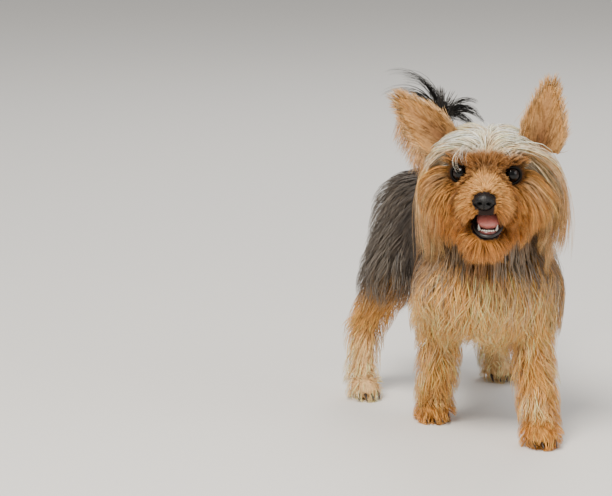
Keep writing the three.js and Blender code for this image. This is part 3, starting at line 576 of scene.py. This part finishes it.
is_head = quad_part == "head"
is_jaw = quad_part == "jaw"
mx, my, mz = np.abs(hm[:, 0]), hm[:, 1], hm[:, 2]
face = (is_head & (my < 7) & (mz < 15) & (mx < 27))
crown = is_head & ~face & (mz > 3)
cheeks = is_head & ~face & ~crown
HF = lambda p, who: head_flow(p)

def crown_length(p, who):
    h = to_head(p)
    return 24 + 24 * ramp(np.hypot(h[:, 0] * 1.1, np.maximum(h[:, 1] - 4, 0)), 4, 30)

def face_length(p, who):
    h = to_head(p)
    e = np.minimum(*[np.linalg.norm(h - EYE_AT * [s, 1, 1], axis=1) for s in (1, -1)])
    L = 4 + 9 * ramp(e, 9.5, 21)
    L = L - 4.5 * np.exp(-((h[:, 0] / 9) ** 2)) * ramp(h[:, 2], -14, -6) * ramp(h[:, 2], 8, 3)
    nose = np.linalg.norm(h - NOSE_AT, axis=1)
    L = np.minimum(L, 3.5 + 8 * ramp(nose, 8, 22))
    brow = ramp(h[:, 2], 6, 13) * ramp(h[:, 1], 9, -4)
    return L * (1 - 0.42 * brow) + 7 * ramp(h[:, 2], -19, -26) * ramp(np.abs(h[:, 0]), 5, 10)

half_left = hm[:, 0] >= 0
for name, half in (("coat_crown_left", half_left), ("coat_crown_right", ~half_left)):
    coat_piece(name, [
        batch(1350, crown & half & (mx < 16), HF, crown_length, 8, 0.36, lift=0.35, gravity=0.35, clump=0.6, lock=14, curl=0.06, spill=1.0),
        batch(1700, crown & half & (mx > 7) & (my > -6), HF, lambda p, who: 70 + 50 * ramp(to_head(p)[:, 2], 6, 24), 11, 0.36, lift=0.38, gravity=0.55, clump=0.8, lock=18, curl=0.04, spill=0.3 if name.endswith("left") else -3.0,
              shade=lambda p: mix(mix(SILVER, BLOND, np.clip(0.08 + 0.55 * waves(p, 5, 12), 0, 1)), GOLD, np.clip(0.8 * waves(p, 6, 7) - 0.4, 0, 0.6)),
              tip_shade=lambda p: mix(mix(SILVER, BLOND, 0.9), GOLD, np.clip(0.3 + 0.8 * waves(p, 7, 9), 0, 0.9))),
        batch(700, cheeks & half & (my > 0), HF, lambda p, who: 32 + 12 * ramp(to_head(p)[:, 2], -20, 4), 7, 0.38, lift=0.55, gravity=0.4, clump=0.65, lock=14, curl=0.1, spill=1.5),
    ])
coat_piece("coat_face", [
    batch(7900, face, HF, face_length, 5, 0.25, lift=0.26, gravity=0.05, clump=0.45, lock=9, weight=1 + 1.5 * ramp(-my, 0, 14), spill=1.5),
])
coat_piece("coat_beard", [
    batch(2500, is_jaw, HF, lambda p, who: 15 + 10 * ramp(to_head(p)[:, 1], -20, 10), 6, 0.3, lift=0.45, gravity=0.4, clump=0.65, lock=12, curl=0.08),
    batch(2300, face & (mz < -6) & (mx > 8), HF, 18, 5, 0.28, lift=0.42, gravity=0.25, clump=0.65, lock=12, curl=0.08),
    batch(1500, cheeks & (my < 14), HF, 26, 6, 0.32, lift=0.5, gravity=0.35, clump=0.65, lock=12, curl=0.08, spill=1.5),
])
is_neck = quad_part == "neck"
is_trunk = quad_part == "trunk"
chest = is_trunk & (middle[:, 1] < -78)
BF = body_flow
def chest_shade(p):
    c = mix(mix(TAN, CREAM, np.clip(0.4 + 0.8 * waves(p, 8, 12), 0, 1)), linear(250, 204, 156), np.clip(1.2 * waves(p, 9, 10) - 0.35, 0, 0.55))
    # darker gold high on the chest and throat: painted shadow under the chin
    c = mix(c, linear(150, 104, 54), 0.85 * ramp(p[:, 2], 136, 152))
    return mix(c, GREY, 0.9 * ramp(p[:, 2] + 0.4 * np.abs(p[:, 0] + 20), 140, 156) * np.clip(0.65 + waves(p, 10, 9), 0, 1))
coat_piece("coat_neck", [
    batch(1500, is_neck, BF, 26, 6, 0.46, lift=0.3, gravity=0.35, clump=0.6, lock=14),
    batch(2200, chest, BF, 26, 5, 0.32, lift=0.3, gravity=0.3, clump=0.5, lock=10, curl=0.16, shade=chest_shade),
    batch(1900, chest, BF, lambda p, who: 46 + 14 * ramp(p[:, 2], 90, 150), 8, 0.3, lift=0.4, gravity=0.2, clump=0.8, lock=30, curl=0.34, shade=chest_shade),
])
back = is_trunk & ~chest
for name, half in (("coat_trunk_left", middle[:, 0] >= 0), ("coat_trunk_right", middle[:, 0] < 0)):
    coat_piece(name, [
        batch(3800, back & half, BF, lambda p, who: 28 + 10 * ramp(p[:, 2], 110, 150), 6, 0.42, lift=0.14, gravity=0.35, clump=0.66, lock=22, curl=0.06),
    ])
fore = np.char.startswith(quad_part, "fore")
hind = np.char.startswith(quad_part, "hind")
leg_length = lambda p, who: 13 + 14 * ramp(p[:, 2], 12, 40) + 6 * ramp(p[:, 2], 80, 110)
def leg_shade(p):
    c = markings_and_painted_shade(p, region_of(p))
    return mix(c, linear(252, 204, 148), np.clip(1.3 * waves(p, 11, 13) - 0.1, 0, 0.65) * ramp(p[:, 2], 16, 40))
coat_piece("coat_forelegs", [batch(5300, fore, BF, leg_length, 6, 0.3, lift=0.26, gravity=0.25, clump=0.74, lock=22, curl=0.3, shade=leg_shade)])
coat_piece("coat_hindlegs", [batch(5300, hind, BF, leg_length, 5, 0.32, lift=0.24, gravity=0.25, clump=0.7, lock=20, curl=0.22)])
is_tail = quad_part == "tail"
# the tail's plume: long fine locks that arc up and over to both sides
arcs = [(-0.8, 0.75, 46), (-0.5, 0.9, 56), (-0.35, 0.97, 62), (-0.2, 1.0, 68), (-0.08, 1.0, 62), (-0.02, 1.0, 52), (-0.01, 1.0, 40), (-0.8, 0.5, 38), (-0.4, 1.0, 44), (-0.15, 1.0, 54),
        (0.55, 0.75, 36), (0.75, 0.6, 38), (0.9, 0.45, 40), (0.95, 0.2, 36), (1.0, 0.0, 34), (0.85, 0.65, 30)]
lines, sizes, roots_uv = [], [], []
tail_p, tail_uv, _ = roots(40 * len(arcs), is_tail & (middle[:, 2] > 214))
for i, (sx, sz, reach) in enumerate(arcs):
    count = 9 if sx < 0.1 else 24
    k = rng.choice(len(tail_p), count, replace=False)
    root = np.array([11.0, 105, 222]) + rng.normal(size=(count, 3)) * 1.6 + [2.0 * np.sign(sx), 0, 0]
    heading = np.array([sx * 0.999, 0.25 * math.sin(3.1 * i), sz])
    heading = np.tile(unit(heading), (count, 1)) + rng.normal(size=(count, 3)) * 0.035
    size = reach * rng.uniform(0.8, 1.05, count)
    p = root
    line = [p]
    turn = unit(heading)
    for j in range(1, 10):
        bend = np.array([-0.085, 0, -0.035 - 0.028 * j]) if sx < 0 else np.array([0.02, 0, -0.055 - 0.027 * j])
        turn = unit(turn + bend + np.array([0.03 * math.sin(i * 2.3), 0, 0]))
        p = p + turn * (size / 9)[:, None]
        line.append(p)
    line = np.stack(line, 1)
    t = np.linspace(0, 1, 10)[None, :, None]
    line = line * (1 - 0.7 * t) + line.mean(0, keepdims=True) * 0.7 * t
    lines.append(line); sizes.append(np.full(count, 0.3) * rng.uniform(0.8, 1.2, count)); roots_uv.append(tail_uv[k])
plume = np.concatenate(lines)
dark_hair = np.tile(linear(30, 27, 25), (len(plume), 1)) * rng.uniform(0.7, 1.5, (len(plume), 1))
coat_piece("coat_tail", [
    batch(620, is_tail, lambda p, who: unit(vec(len(p), 0.1, 0.1, 1.0)), 15, 6, 0.36, lift=0.16, gravity=0.08, clump=0.5, lock=12, spill=6, tip=1.1),
    (plume, np.concatenate(sizes), dark_hair, dark_hair * 1.3, np.concatenate(roots_uv)),
])
# a few pale strands of the fringe that fall over the brow and the right eye
STRANDS = [
    ([[-10, 6, 22], [-15, -3, 22], [-20.4, -9, 19], [-23.8, -12.5, 13], [-22.9, -12.5, 7], [-19.8, -12, 2]], 5),
    ([[-12, 5, 22], [-16, -4, 20.5], [-17.5, -9, 15], [-16.5, -11, 10.5], [-15, -11.5, 7]], 5),
    ([[8, 5, 23], [12, -4, 21], [16.5, -9.5, 17.5], [19, -11, 12.8]], 5),
    ([[-4, 5, 23.5], [-6, -4, 21.5], [-9, -9, 16.5]], 4),
]
strands, patches = [], []
for path, n in STRANDS:
    path = np.array(path, float)
    t = np.linspace(0, len(path) - 1, 12)
    k = np.clip(t.astype(int), 0, len(path) - 2)
    f = (t - k)[:, None]
    before, after = path[np.maximum(k - 1, 0)], path[np.minimum(k + 2, len(path) - 1)]
    a0, a1 = path[k], path[k + 1]
    curve = 0.5 * (2 * a0 + (a1 - before) * f + (2 * before - 5 * a0 + 4 * a1 - after) * f ** 2 + (3 * a0 - before - 3 * a1 + after) * f ** 3)
    spread = rng.normal(size=(n, 1, 3)) * 1.3 * np.linspace(1, 0.55, 12)[None, :, None]
    line = from_head(curve[None] + spread)
    line = line + slope(line.reshape(-1, 3)).reshape(line.shape) * np.clip(1.2 - sample(FLESH, line.reshape(-1, 3)).reshape(line.shape[:2]), 0, 4)[..., None] * np.linspace(0, 1, 12)[None, :, None] ** 0.3
    strands.append(line)
fringe = np.concatenate(strands)
pale = np.tile(linear(244, 232, 214), (len(fringe), 1))
coat_piece("coat_fringe", [(fringe, np.full(len(fringe), 0.13), pale, pale, skin_patch(fringe[:, 0]))])

# ---- ears: a thin cupped leaf each, short hair on it and a silky fringe ----
EARS = {
    "ear_left": dict(base=[40, 23, 22], tip=[45.5, 25, 65], face=[0.1, -1, 0.05], wide=1.28),
    "ear_right": dict(base=[-36, 26, 22], tip=[-69, 39, 49], face=[-0.45, -0.85, 0.25], wide=1.22),
}

def sphere(across, down):
    t = np.linspace(0, math.pi, down + 1)[1:-1]
    a = np.linspace(0, 2 * math.pi, across, endpoint=False)
    body = np.stack([np.outer(np.sin(t), np.cos(a)), np.outer(np.sin(t), np.sin(a)), np.outer(np.cos(t), np.ones(across))], -1).reshape(-1, 3)
    p = np.concatenate([body, [[0, 0, 1], [0, 0, -1]]])
    rows, tris = down - 1, []
    for j in range(rows - 1):
        for i in range(across):
            k = (i + 1) % across
            a0, a1, b0, b1 = j * across + i, j * across + k, (j + 1) * across + i, (j + 1) * across + k
            tris += [[a0, b0, b1], [a0, b1, a1]]
    for i in range(across):
        k = (i + 1) % across
        tris += [[len(p) - 2, i, k], [len(p) - 1, (rows - 1) * across + k, (rows - 1) * across + i]]
    return p, np.array(tris)

def ear(base, tip, face, wide):
    base, tip, face = (np.array(a, float) for a in (base, tip, face))
    along = unit(tip - base)
    across = unit(np.cross(face, along))
    out = unit(np.cross(along, across))
    length = np.linalg.norm(tip - base) + 7
    v, tris = sphere(40, 30)
    t = (v[:, 2] + 1) / 2
    ring = np.maximum(np.hypot(v[:, 0], v[:, 1]), 1e-3)
    leaf = np.power(1 - t, 0.64) * (0.72 + 1.2 * np.minimum(t, 0.25)) * 1.12
    u = v[:, 0] / np.maximum(ring, 0.05) * leaf * 13.8 * wide
    w = v[:, 1] * 1.3
    cup = 0.55 * u * u / (14.5 * wide) + 2.5 * t
    p = base + along * (t * length - 8)[:, None] + across * u[:, None] + out * (w + cup - 3)[:, None]
    return from_head(p), tris, (t, u / (14.5 * wide), v[:, 1], world(along), world(across), world(out), leaf)

for name, e in EARS.items():
    p, tris, (t, u, sidew, along, across, out, leaf) = ear(**e)
    inner = (sidew > 0)[:, None]
    edge = np.clip(np.abs(u) / np.maximum(leaf * 0.95, 0.05), 0, 1)
    # inner face darker towards the base: painted shade in the ear's hollow; lighter edges are the leaf's own colour
    colour = np.where(inner, mix(mix(linear(120, 78, 46), linear(176, 126, 78), ramp(t, 0.1, 0.6)), linear(205, 155, 98), edge), mix(linear(150, 98, 58), linear(190, 140, 85), edge)) * 0.8
    leaf_mesh = make_mesh(name + "_leaf", p, tris, colour)
    leaf_mesh.data.uv_layers.new(name="OFBake")
    uv = np.stack([0.5 + 0.48 * u, t * 0.45 + np.where(sidew > 0, 0.5, 0)], -1)
    leaf_mesh.data.uv_layers["OFBake"].data.foreach_set("uv", uv[tris.ravel()].astype(np.float32).ravel())
    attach(leaf_mesh, "root"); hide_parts(name)
    e["mesh"] = leaf_mesh
    a, b, c = p[tris[:, 0]], p[tris[:, 1]], p[tris[:, 2]]
    nrm = np.cross(b - a, c - a)
    area = np.linalg.norm(nrm, axis=1)
    nrm = unit(nrm)
    tm, um = t[tris].mean(1), np.abs(u[tris].mean(1)) / np.maximum(leaf[tris].mean(1) * 0.95, 0.05)
    batches = []
    for kind, count, w in (("short", 2050, area * (0.6 + 0.6 * um + 1.2 * ramp(tm, 0.82, 0.97))), ("fringe", 500, area * (ramp(um, 0.6, 0.95) + 0.6 * ramp(tm, 0.8, 0.95)) + 1e-9), ("hang", 520 if name == "ear_right" else 160, area * ramp(um, 0.45, 0.9) * (u[tris].mean(1) > 0) * ramp(tm, 0.95, 0.75) + 1e-12)):
        q = rng.choice(len(tris), count, p=w / w.sum())
        k = rng.dirichlet([1, 1, 1], count)
        root = k[:, :1] * a[q] + k[:, 1:2] * b[q] + k[:, 2:] * c[q]
        at = uv[tris[q]].mean(1)
        sgn = np.sign(u[tris[q]].mean(1))[:, None]
        flow = unit(along * 1.0 + across * sgn * (0.22 if kind == "short" else 0.45) + rng.normal(size=(count, 3)) * 0.12)
        size = {"short": rng.uniform(7, 14, count), "fringe": rng.uniform(8, 13, count), "hang": rng.uniform(14, 25, count)}[kind]
        if kind == "hang":
            flow = unit(along * 0.35 + across * 0.35 + np.array([0, 0, -0.9]) + rng.normal(size=(count, 3)) * 0.14)
        line = grow(root, flow, size, 5, lift=0.12, gravity={"short": 0.03, "fringe": 0.14, "hang": 0.3}[kind], layer=np.zeros(count), depth=np.ones(count), normal=nrm[q], clump=0.4, lock=8, spill=1e3)
        # hair towards the base and middle of the ear is darkened: painted shade in the ear's hollow
        deep = ramp(tm[q], 0.75, 0.1) * ramp(um[q], 0.9, 0.3)
        c0 = mix(mix(linear(162, 112, 56), linear(216, 166, 100), rng.random(count) ** 1.5), linear(92, 58, 30), deep * 0.85)
        c0 = mix(c0, linear(228, 190, 142), 0.6 * ramp(um[q], 0.8, 1.0))
        batches.append((line, (0.24 if kind == "short" else 0.26) * rng.uniform(0.8, 1.3, count), c0, c0 * 1.25, at))
    coat_piece("coat_" + name, batches)

# ---- eyes and lids ----
def colour_mesh(name, p, tris, colour, node=None):
    ob = make_mesh(name, from_head(p), tris, np.broadcast_to(colour, (len(p), 3)).copy())
    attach(ob, "root")
    if node:
        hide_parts(*node)
    return ob

FACE, LIDS, EYES = [], [], []
for side, s in (("left", 1), ("right", -1)):
    at = EYE_AT * [s, 1, 1]
    axis = unit(np.array([0.07 * s, -1, 0.02]))
    right = unit(np.cross(axis, [0, 0, 1.0]))
    up = np.cross(right, axis)
    v, tris = sphere(48, 36)
    angle = np.degrees(np.arccos(np.clip(v[:, 2], -1, 1)))
    r = EYE_R + 0.55 * np.exp(-((angle / 30) ** 4))
    p = at + (v[:, :1] * right + v[:, 1:2] * up + v[:, 2:] * axis) * r[:, None]
    c = mix(linear(4, 3, 3), linear(30, 16, 9), ramp(angle, 24, 30))
    c = mix(c, linear(10, 7, 6), ramp(angle, 38, 44))
    c = mix(c, linear(70, 56, 50), ramp(angle, 54, 60))
    EYES.append(colour_mesh("eyeball_" + side, p, tris, c, ["eye_" + side]))
    n = 72
    phi = np.linspace(0, 2 * math.pi, n, endpoint=False)
    open_to = 47 + 4.0 * np.abs(np.cos(phi)) ** 3 - 9.0 * np.clip(np.sin(phi), 0, 1) ** 2 - 1.5 * np.clip(-np.sin(phi), 0, 1) ** 2
    section = [(26, 8.35), (6, 8.35), (0.5, 8.45), (-1.0, 8.8), (0.6, 9.15), (4, 9.4), (10, 9.5), (26, 9.2)]
    pts = []
    for a, rr in section:
        th = np.radians(open_to + a)[:, None]
        pts.append(at + rr * (np.cos(th) * axis + np.sin(th) * (np.cos(phi)[:, None] * right + np.sin(phi)[:, None] * up)))
    m = len(section)
    p = np.stack(pts).reshape(-1, 3)
    tris = []
    for j in range(m):
        for i in range(n):
            k, l = (i + 1) % n, (j + 1) % m
            tris += [[j * n + i, l * n + i, l * n + k], [j * n + i, l * n + k, j * n + k]]
    tris = np.array(tris)
    centre = p[tris].mean(1)
    if np.mean(np.sum(np.cross(p[tris[:, 1]] - p[tris[:, 0]], p[tris[:, 2]] - p[tris[:, 0]])[4 * n:8 * n] * (centre - at)[4 * n:8 * n], -1)) < 0:
        tris = tris[:, ::-1]
    c = np.repeat(np.array([linear(9, 7, 6)] * 6 + [linear(40, 26, 16), linear(80, 52, 28)]), n, 0)
    LIDS.append(colour_mesh("lids_" + side, p, tris, c))

n_lid = 440
batches = []
for s in (1, -1):
    at = EYE_AT * [s, 1, 1]
    axis = unit(np.array([0.07 * s, -1, 0.02]))
    right = unit(np.cross(axis, [0, 0, 1.0]))
    up = np.cross(right, axis)
    phi = rng.uniform(0, 2 * math.pi, n_lid)
    th = np.radians(51 + 29 * rng.random(n_lid) ** 1.2)[:, None]
    radial = np.cos(phi)[:, None] * right + np.sin(phi)[:, None] * up
    nrm = np.cos(th) * axis + np.sin(th) * radial
    root = from_head(at + nrm * 9.2)
    flow = world(unit(radial + [0, 0.35, 0] + rng.normal(size=(n_lid, 3)) * 0.12))
    line = grow(root, flow, rng.uniform(3.0, 6.0, n_lid), 5, lift=0.22, gravity=0.02, layer=np.zeros(n_lid), depth=np.ones(n_lid), normal=world(nrm), clump=0.3, lock=6, spill=1e3)
    # lid hair darker near the opening: partly the dark fur round the eyes, partly painted shade from the brow; each
    # lock also darker at its root as painted shade
    c0 = mix(BROWN * 0.6, mix(BROWN, GOLD, 0.5), np.clip(rng.random(n_lid) * 0.4 + 0.6 * ramp(np.degrees(th[:, 0]), 56, 80), 0, 1))
    batches.append((line, np.full(n_lid, 0.2), c0 * 0.8, c0 * 1.15, skin_patch(root)))
coat_piece("coat_lids", batches)

# ---- nose: two nostrils with side slits and a groove down the middle ----
v, tris = sphere(96, 72)
v = v[:, [0, 2, 1]] * [1, -1, 1]
tris = tris[:, ::-1] if np.linalg.det(np.array([[1, 0, 0], [0, 0, -1], [0, 1, 0]])) < 0 else tris
r = NOSE_R * [1.0, 1.05, 1.0]
p = v * r
p[:, 0] *= 1 - 0.28 * ramp(-v[:, 2], 0.0, 1.0)
p[:, 2] += 0.6 * np.exp(-((v[:, 0] / 0.5) ** 2)) * ramp(v[:, 2], 0.2, 0.9)
front = ramp(-v[:, 1], 0.0, 0.4)
dent = np.zeros(len(v))
for s in (1, -1):
    for cx, cz, w, deep in ((0.45, -0.08, 0.21, 3.4), (0.64, -0.20, 0.15, 2.4), (0.80, -0.34, 0.12, 1.5)):
        dent += deep * np.exp(-(((v[:, 0] - s * cx) / w) ** 2 + ((v[:, 2] - cz) / (w * 0.8)) ** 2)) * front
dent += 0.75 * np.exp(-((v[:, 0] / 0.07) ** 2)) * ramp(-v[:, 2], -0.25, 0.1) * front
p -= unit(v / r) * dent[:, None]
# the leather is darker in the nostrils, slits and groove, by their depth: painted shade in the hollows
dark = mix(linear(16, 13, 13), linear(2, 2, 2), np.clip(dent / 2, 0, 1))
nose = colour_mesh("nose_leather", p + NOSE_AT, tris, dark, ["nose"])

# ---- tongue, gums and teeth, lips ----
v, tris = sphere(40, 28)
v = v[:, [0, 2, 1]] * [1, -1, 1]
p = v * [8.8, 12.5, 7.2]
p[:, 2] += -2.5 * (1 - v[:, 1]) * 0.9 + 3.6 - 0.022 * p[:, 0] ** 2 - 0.5 * np.exp(-((p[:, 0] / 1.0) ** 2)) * (v[:, 2] > 0)
# the tongue darkens towards the back: painted shade deep in the mouth
tongue = colour_mesh("tongue_soft", p + [2.9, -11.0, -33.4], tris, mix(linear(206, 122, 112), linear(160, 88, 84), ramp(v[:, 1], -0.6, 0.6)), ["tongue"])

def join(parts):
    P, T, K, base = [], [], [], 0
    for p, t, c in parts:
        P.append(p); T.append(t + base); K.append(np.broadcast_to(c, (len(p), 3))); base += len(p)
    return np.concatenate(P), np.concatenate(T), np.concatenate(K)

def pipe(path, radius, sides=10):
    """A closed tube along a path, round at its ends."""
    path = np.asarray(path, float)
    n = len(path)
    d = unit(np.gradient(path, axis=0))
    u = unit(np.cross(d, [0.02, 0.03, 1.0]))
    w = np.cross(d, u)
    radius = np.broadcast_to(radius, (n,)).astype(float)
    a = np.linspace(0, 2 * math.pi, sides, endpoint=False)
    p = (path[:, None] + radius[:, None, None] * (np.cos(a)[None, :, None] * u[:, None] + np.sin(a)[None, :, None] * w[:, None])).reshape(-1, 3)
    p = np.concatenate([p, [path[0] - d[0] * radius[0] * 0.6, path[-1] + d[-1] * radius[-1] * 0.6]])
    t = []
    for j in range(n - 1):
        for i in range(sides):
            k = (i + 1) % sides
            t += [[j * sides + i, j * sides + k, (j + 1) * sides + k], [j * sides + i, (j + 1) * sides + k, (j + 1) * sides + i]]
    for i in range(sides):
        k = (i + 1) % sides
        t += [[len(p) - 2, k, i], [len(p) - 1, (n - 1) * sides + i, (n - 1) * sides + k]]
    return p, np.array(t)

T0 = np.array([2.9, -14.5, -41.4])
arc = lambda s, half=7.6, deep=9.2: np.stack([half * np.sin(s * math.pi / 2), -deep * np.cos(s * math.pi / 2), 0 * s], -1)
parts = []
gum_line = T0 + arc(np.linspace(-1, 1, 25)) + [0, 0, 0.2]
parts.append((*pipe(gum_line, 1.5), linear(120, 66, 62)))
ball_p, ball_t = sphere(14, 10)
for s in np.array([-0.36, -0.215, -0.072, 0.072, 0.215, 0.36]):
    parts.append((ball_p * [0.85, 0.6, 1.15] + T0 + arc(s) + [0, 0, 1.5], ball_t, linear(236, 230, 214)))
for s in (-0.62, 0.62):
    root = T0 + arc(s) + [0, 0, 1.0]
    k = np.linspace(0, 1, 7)[:, None]
    path = root + k * [0.9 * np.sign(s), -0.5, 5.2] + (k ** 2) * [0, 0.9, 0]
    parts.append((*pipe(path, 1.25 * (1 - 0.85 * k[:, 0] ** 1.4), 12), linear(238, 233, 220)))
for s in (-0.86, 0.86):
    parts.append((ball_p * [0.9, 1.6, 1.6] + T0 + arc(s) + [0, 0, 1.6], ball_t, linear(230, 222, 204)))
p, t, c = join(parts)
teeth = colour_mesh("teeth", p, t, c, ["lower_teeth"])
s = np.linspace(-1, 1, 41)
lower = np.stack([2.9 + 10.4 * np.sin(s * math.pi / 2), -13.0 - 13.6 * np.cos(s * math.pi / 2), -33.6 - 9.6 * np.cos(s * math.pi / 2) ** 0.8], -1)
upper = np.stack([2.9 + 10.2 * np.sin(s * math.pi / 2), -13.0 - 17.2 * np.cos(s * math.pi / 2), -32.0 + 8.2 * np.cos(s * math.pi / 2) ** 0.8], -1)
p, t, c = join([(*pipe(lower, 1.3), LIP), (*pipe(upper, 1.0), LIP)])
lips = colour_mesh("lips", p, t, c)

# ---- claws: short curved cones of one dark colour ----
PAWS = {"fore_left": ([28.5, -130, 9], 15 + 5), "fore_right": ([-29.5, -31, 9], 14.5 + 5), "hind_right": ([-64, 57, 9], 15 + 6), "hind_left": ([59, 98, 9], 15 + 5)}
parts = []
for leg, (at, reach) in PAWS.items():
    for place in (-1.5, -0.5, 0.5, 1.5):
        out = reach - (4.4 if abs(place) > 1 else 1.2)
        k = np.linspace(0, 1, 8)[:, None]
        path = np.array([at[0] + place * 5.6, at[1] - out + 7.6, 6.2]) + k * [0, -7.0, -1.6] + k ** 2 * [0, 0.2, -2.6]
        parts.append((to_head(pipe(path, 1.45 * (1 - 0.8 * k[:, 0] ** 1.5), 10)[0]), pipe(path, 1, 10)[1], linear(58, 46, 38)))
p, t, c = join(parts)
claws = colour_mesh("claws", p, t, c, [f"{leg}_claw_{i}" for leg in PAWS for i in range(1, 5)])
# outward faces everywhere
for ob in (nose, tongue, teeth, lips, claws, *LIDS, *EYES):
    bpy.context.view_layer.objects.active = ob
    ob.select_set(True)
    bpy.ops.object.mode_set(mode="EDIT")
    bpy.ops.mesh.select_all(action="SELECT")
    bpy.ops.mesh.normals_make_consistent(inside=False)
    bpy.ops.object.mode_set(mode="OBJECT")
    ob.select_set(False)

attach(skin, "root")
flesh = ["trunk", "neck", "head", "jaw", "tail"] + [f"{leg}_{part}" for leg in PAWS for part in ("upper", "lower", "paw")]
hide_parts(*flesh)

# ---- materials ----
def material(name, roughness, specular=0.4, coat=0.0, grain=0.0, scale=900.0, bump=0.0, subsurface=0.0):
    m = bpy.data.materials.new(name)
    m.use_nodes = True
    t = m.node_tree
    b = t.nodes["Principled BSDF"]
    col = t.nodes.new("ShaderNodeVertexColor")
    col.layer_name = "Col"
    b.inputs["Roughness"].default_value = roughness
    b.inputs["Specular IOR Level"].default_value = specular
    b.inputs["Coat Weight"].default_value = coat
    b.inputs["Coat Roughness"].default_value = 0.03
    b.inputs["Subsurface Weight"].default_value = subsurface
    b.inputs["Subsurface Scale"].default_value = 0.002
    if grain or bump:
        place = t.nodes.new("ShaderNodeTexCoord")
        noise = t.nodes.new("ShaderNodeTexNoise")
        noise.inputs["Scale"].default_value = scale
        noise.inputs["Detail"].default_value = 3
        t.links.new(place.outputs["Object"], noise.inputs["Vector"])
    if grain:
        ramp_node = t.nodes.new("ShaderNodeMapRange")
        ramp_node.inputs["From Min"].default_value = 0.3
        ramp_node.inputs["From Max"].default_value = 0.7
        ramp_node.inputs["To Min"].default_value = 1 - grain
        ramp_node.inputs["To Max"].default_value = 1 + grain * 0.6
        t.links.new(noise.outputs["Fac"], ramp_node.inputs["Value"])
        mul = t.nodes.new("ShaderNodeVectorMath")
        mul.operation = "SCALE"
        t.links.new(col.outputs["Color"], mul.inputs[0])
        t.links.new(ramp_node.outputs["Result"], mul.inputs["Scale"])
        t.links.new(mul.outputs["Vector"], b.inputs["Base Color"])
    else:
        t.links.new(col.outputs["Color"], b.inputs["Base Color"])
    if bump:
        bn = t.nodes.new("ShaderNodeBump")
        bn.inputs["Strength"].default_value = bump
        bn.inputs["Distance"].default_value = 0.0004
        t.links.new(noise.outputs["Fac"], bn.inputs["Height"])
        t.links.new(bn.outputs["Normal"], b.inputs["Normal"])
    return m

hair = material("hair", 0.42, 0.26, grain=0.22, scale=260)
hide = material("hide", 0.8, 0.2, grain=0.25, scale=500)
for ob in COAT_PIECES:
    ob.data.materials.append(hair)
for ob in (skin, EARS["ear_left"]["mesh"], EARS["ear_right"]["mesh"]):
    ob.data.materials.append(hide)
for ob in EYES:
    ob.data.materials.append(material(ob.name, 0.06, 0.28, grain=0.1, scale=1500))
for ob in LIDS:
    ob.data.materials.append(material(ob.name, 0.6, 0.15, grain=0.15, scale=1500, bump=0.3))
nose.data.materials.append(material("nose_leather", 0.36, 0.34, coat=0.0, grain=0.2, scale=1400, bump=0.8))
tongue.data.materials.append(material("tongue", 0.35, 0.5, coat=0.3, grain=0.12, scale=1300, bump=0.4, subsurface=0.15))
teeth.data.materials.append(material("teeth", 0.25, 0.5, coat=0.3, grain=0.06, scale=700))
lips.data.materials.append(material("lips", 0.4, 0.5, grain=0.15, scale=900, bump=0.3))
claws.data.materials.append(material("claws", 0.35, 0.5, grain=0.25, scale=700))

# ---- floor, light and camera ----
bpy.ops.mesh.primitive_plane_add(size=12, location=(0, 2, 0))
floor = bpy.context.object
floor.name = "floor"
fm = bpy.data.materials.new("floor")
fm.use_nodes = True
fb = fm.node_tree.nodes["Principled BSDF"]
fb.inputs["Base Color"].default_value = (0.74, 0.72, 0.69, 1)
fb.inputs["Roughness"].default_value = 0.9
floor.data.materials.append(fm)
w = bpy.data.worlds.new("studio")
bpy.context.scene.world = w
w.use_nodes = True
w.node_tree.nodes["Background"].inputs["Color"].default_value = (1.0, 0.99, 0.97, 1)
w.node_tree.nodes["Background"].inputs["Strength"].default_value = 0.5

def area(name, at, size, power, colour=(1, 1, 1)):
    data = bpy.data.lights.new(name, "AREA")
    data.size, data.energy, data.color = size, power, colour
    ob = bpy.data.objects.new(name, data)
    bpy.context.scene.collection.objects.link(ob)
    ob.location = at
    ob.rotation_euler = (Vector((0, -0.05, 0.15)) - Vector(at)).to_track_quat("-Z", "Y").to_euler()

area("key", (-0.8, -1.1, 1.9), 0.9, 82, (1.0, 0.95, 0.87))
area("fill", (1.5, -1.4, 0.9), 1.2, 14, (1.0, 0.98, 0.95))
area("rim", (0.6, 1.5, 1.6), 0.9, 18)

el, th = math.radians(10.5), math.radians(12.5)
F, DIST = 3421.0, 2600.0
toward = np.array([-math.sin(th) * math.cos(el), -math.cos(th) * math.cos(el), math.sin(el)])
right = np.array([math.cos(th), -math.sin(th), 0])
upward = np.cross(toward, right)
eye = np.array([28.0, -130, 0]) + ORIGIN + toward * DIST - right * (540 - 306) / F * DIST + upward * (446 - 248) / F * DIST
cam = bpy.data.cameras.new("camera")
cam.sensor_width = 36
cam.lens = 36 * F / 612
cam.clip_end = 100
camera = bpy.data.objects.new("camera", cam)
bpy.context.scene.collection.objects.link(camera)
m = Matrix.Identity(4)
for i in range(3):
    m[i][0], m[i][1], m[i][2], m[i][3] = right[i], upward[i], toward[i], eye[i] / 1000
camera.matrix_world = m
bpy.context.scene.camera = camera
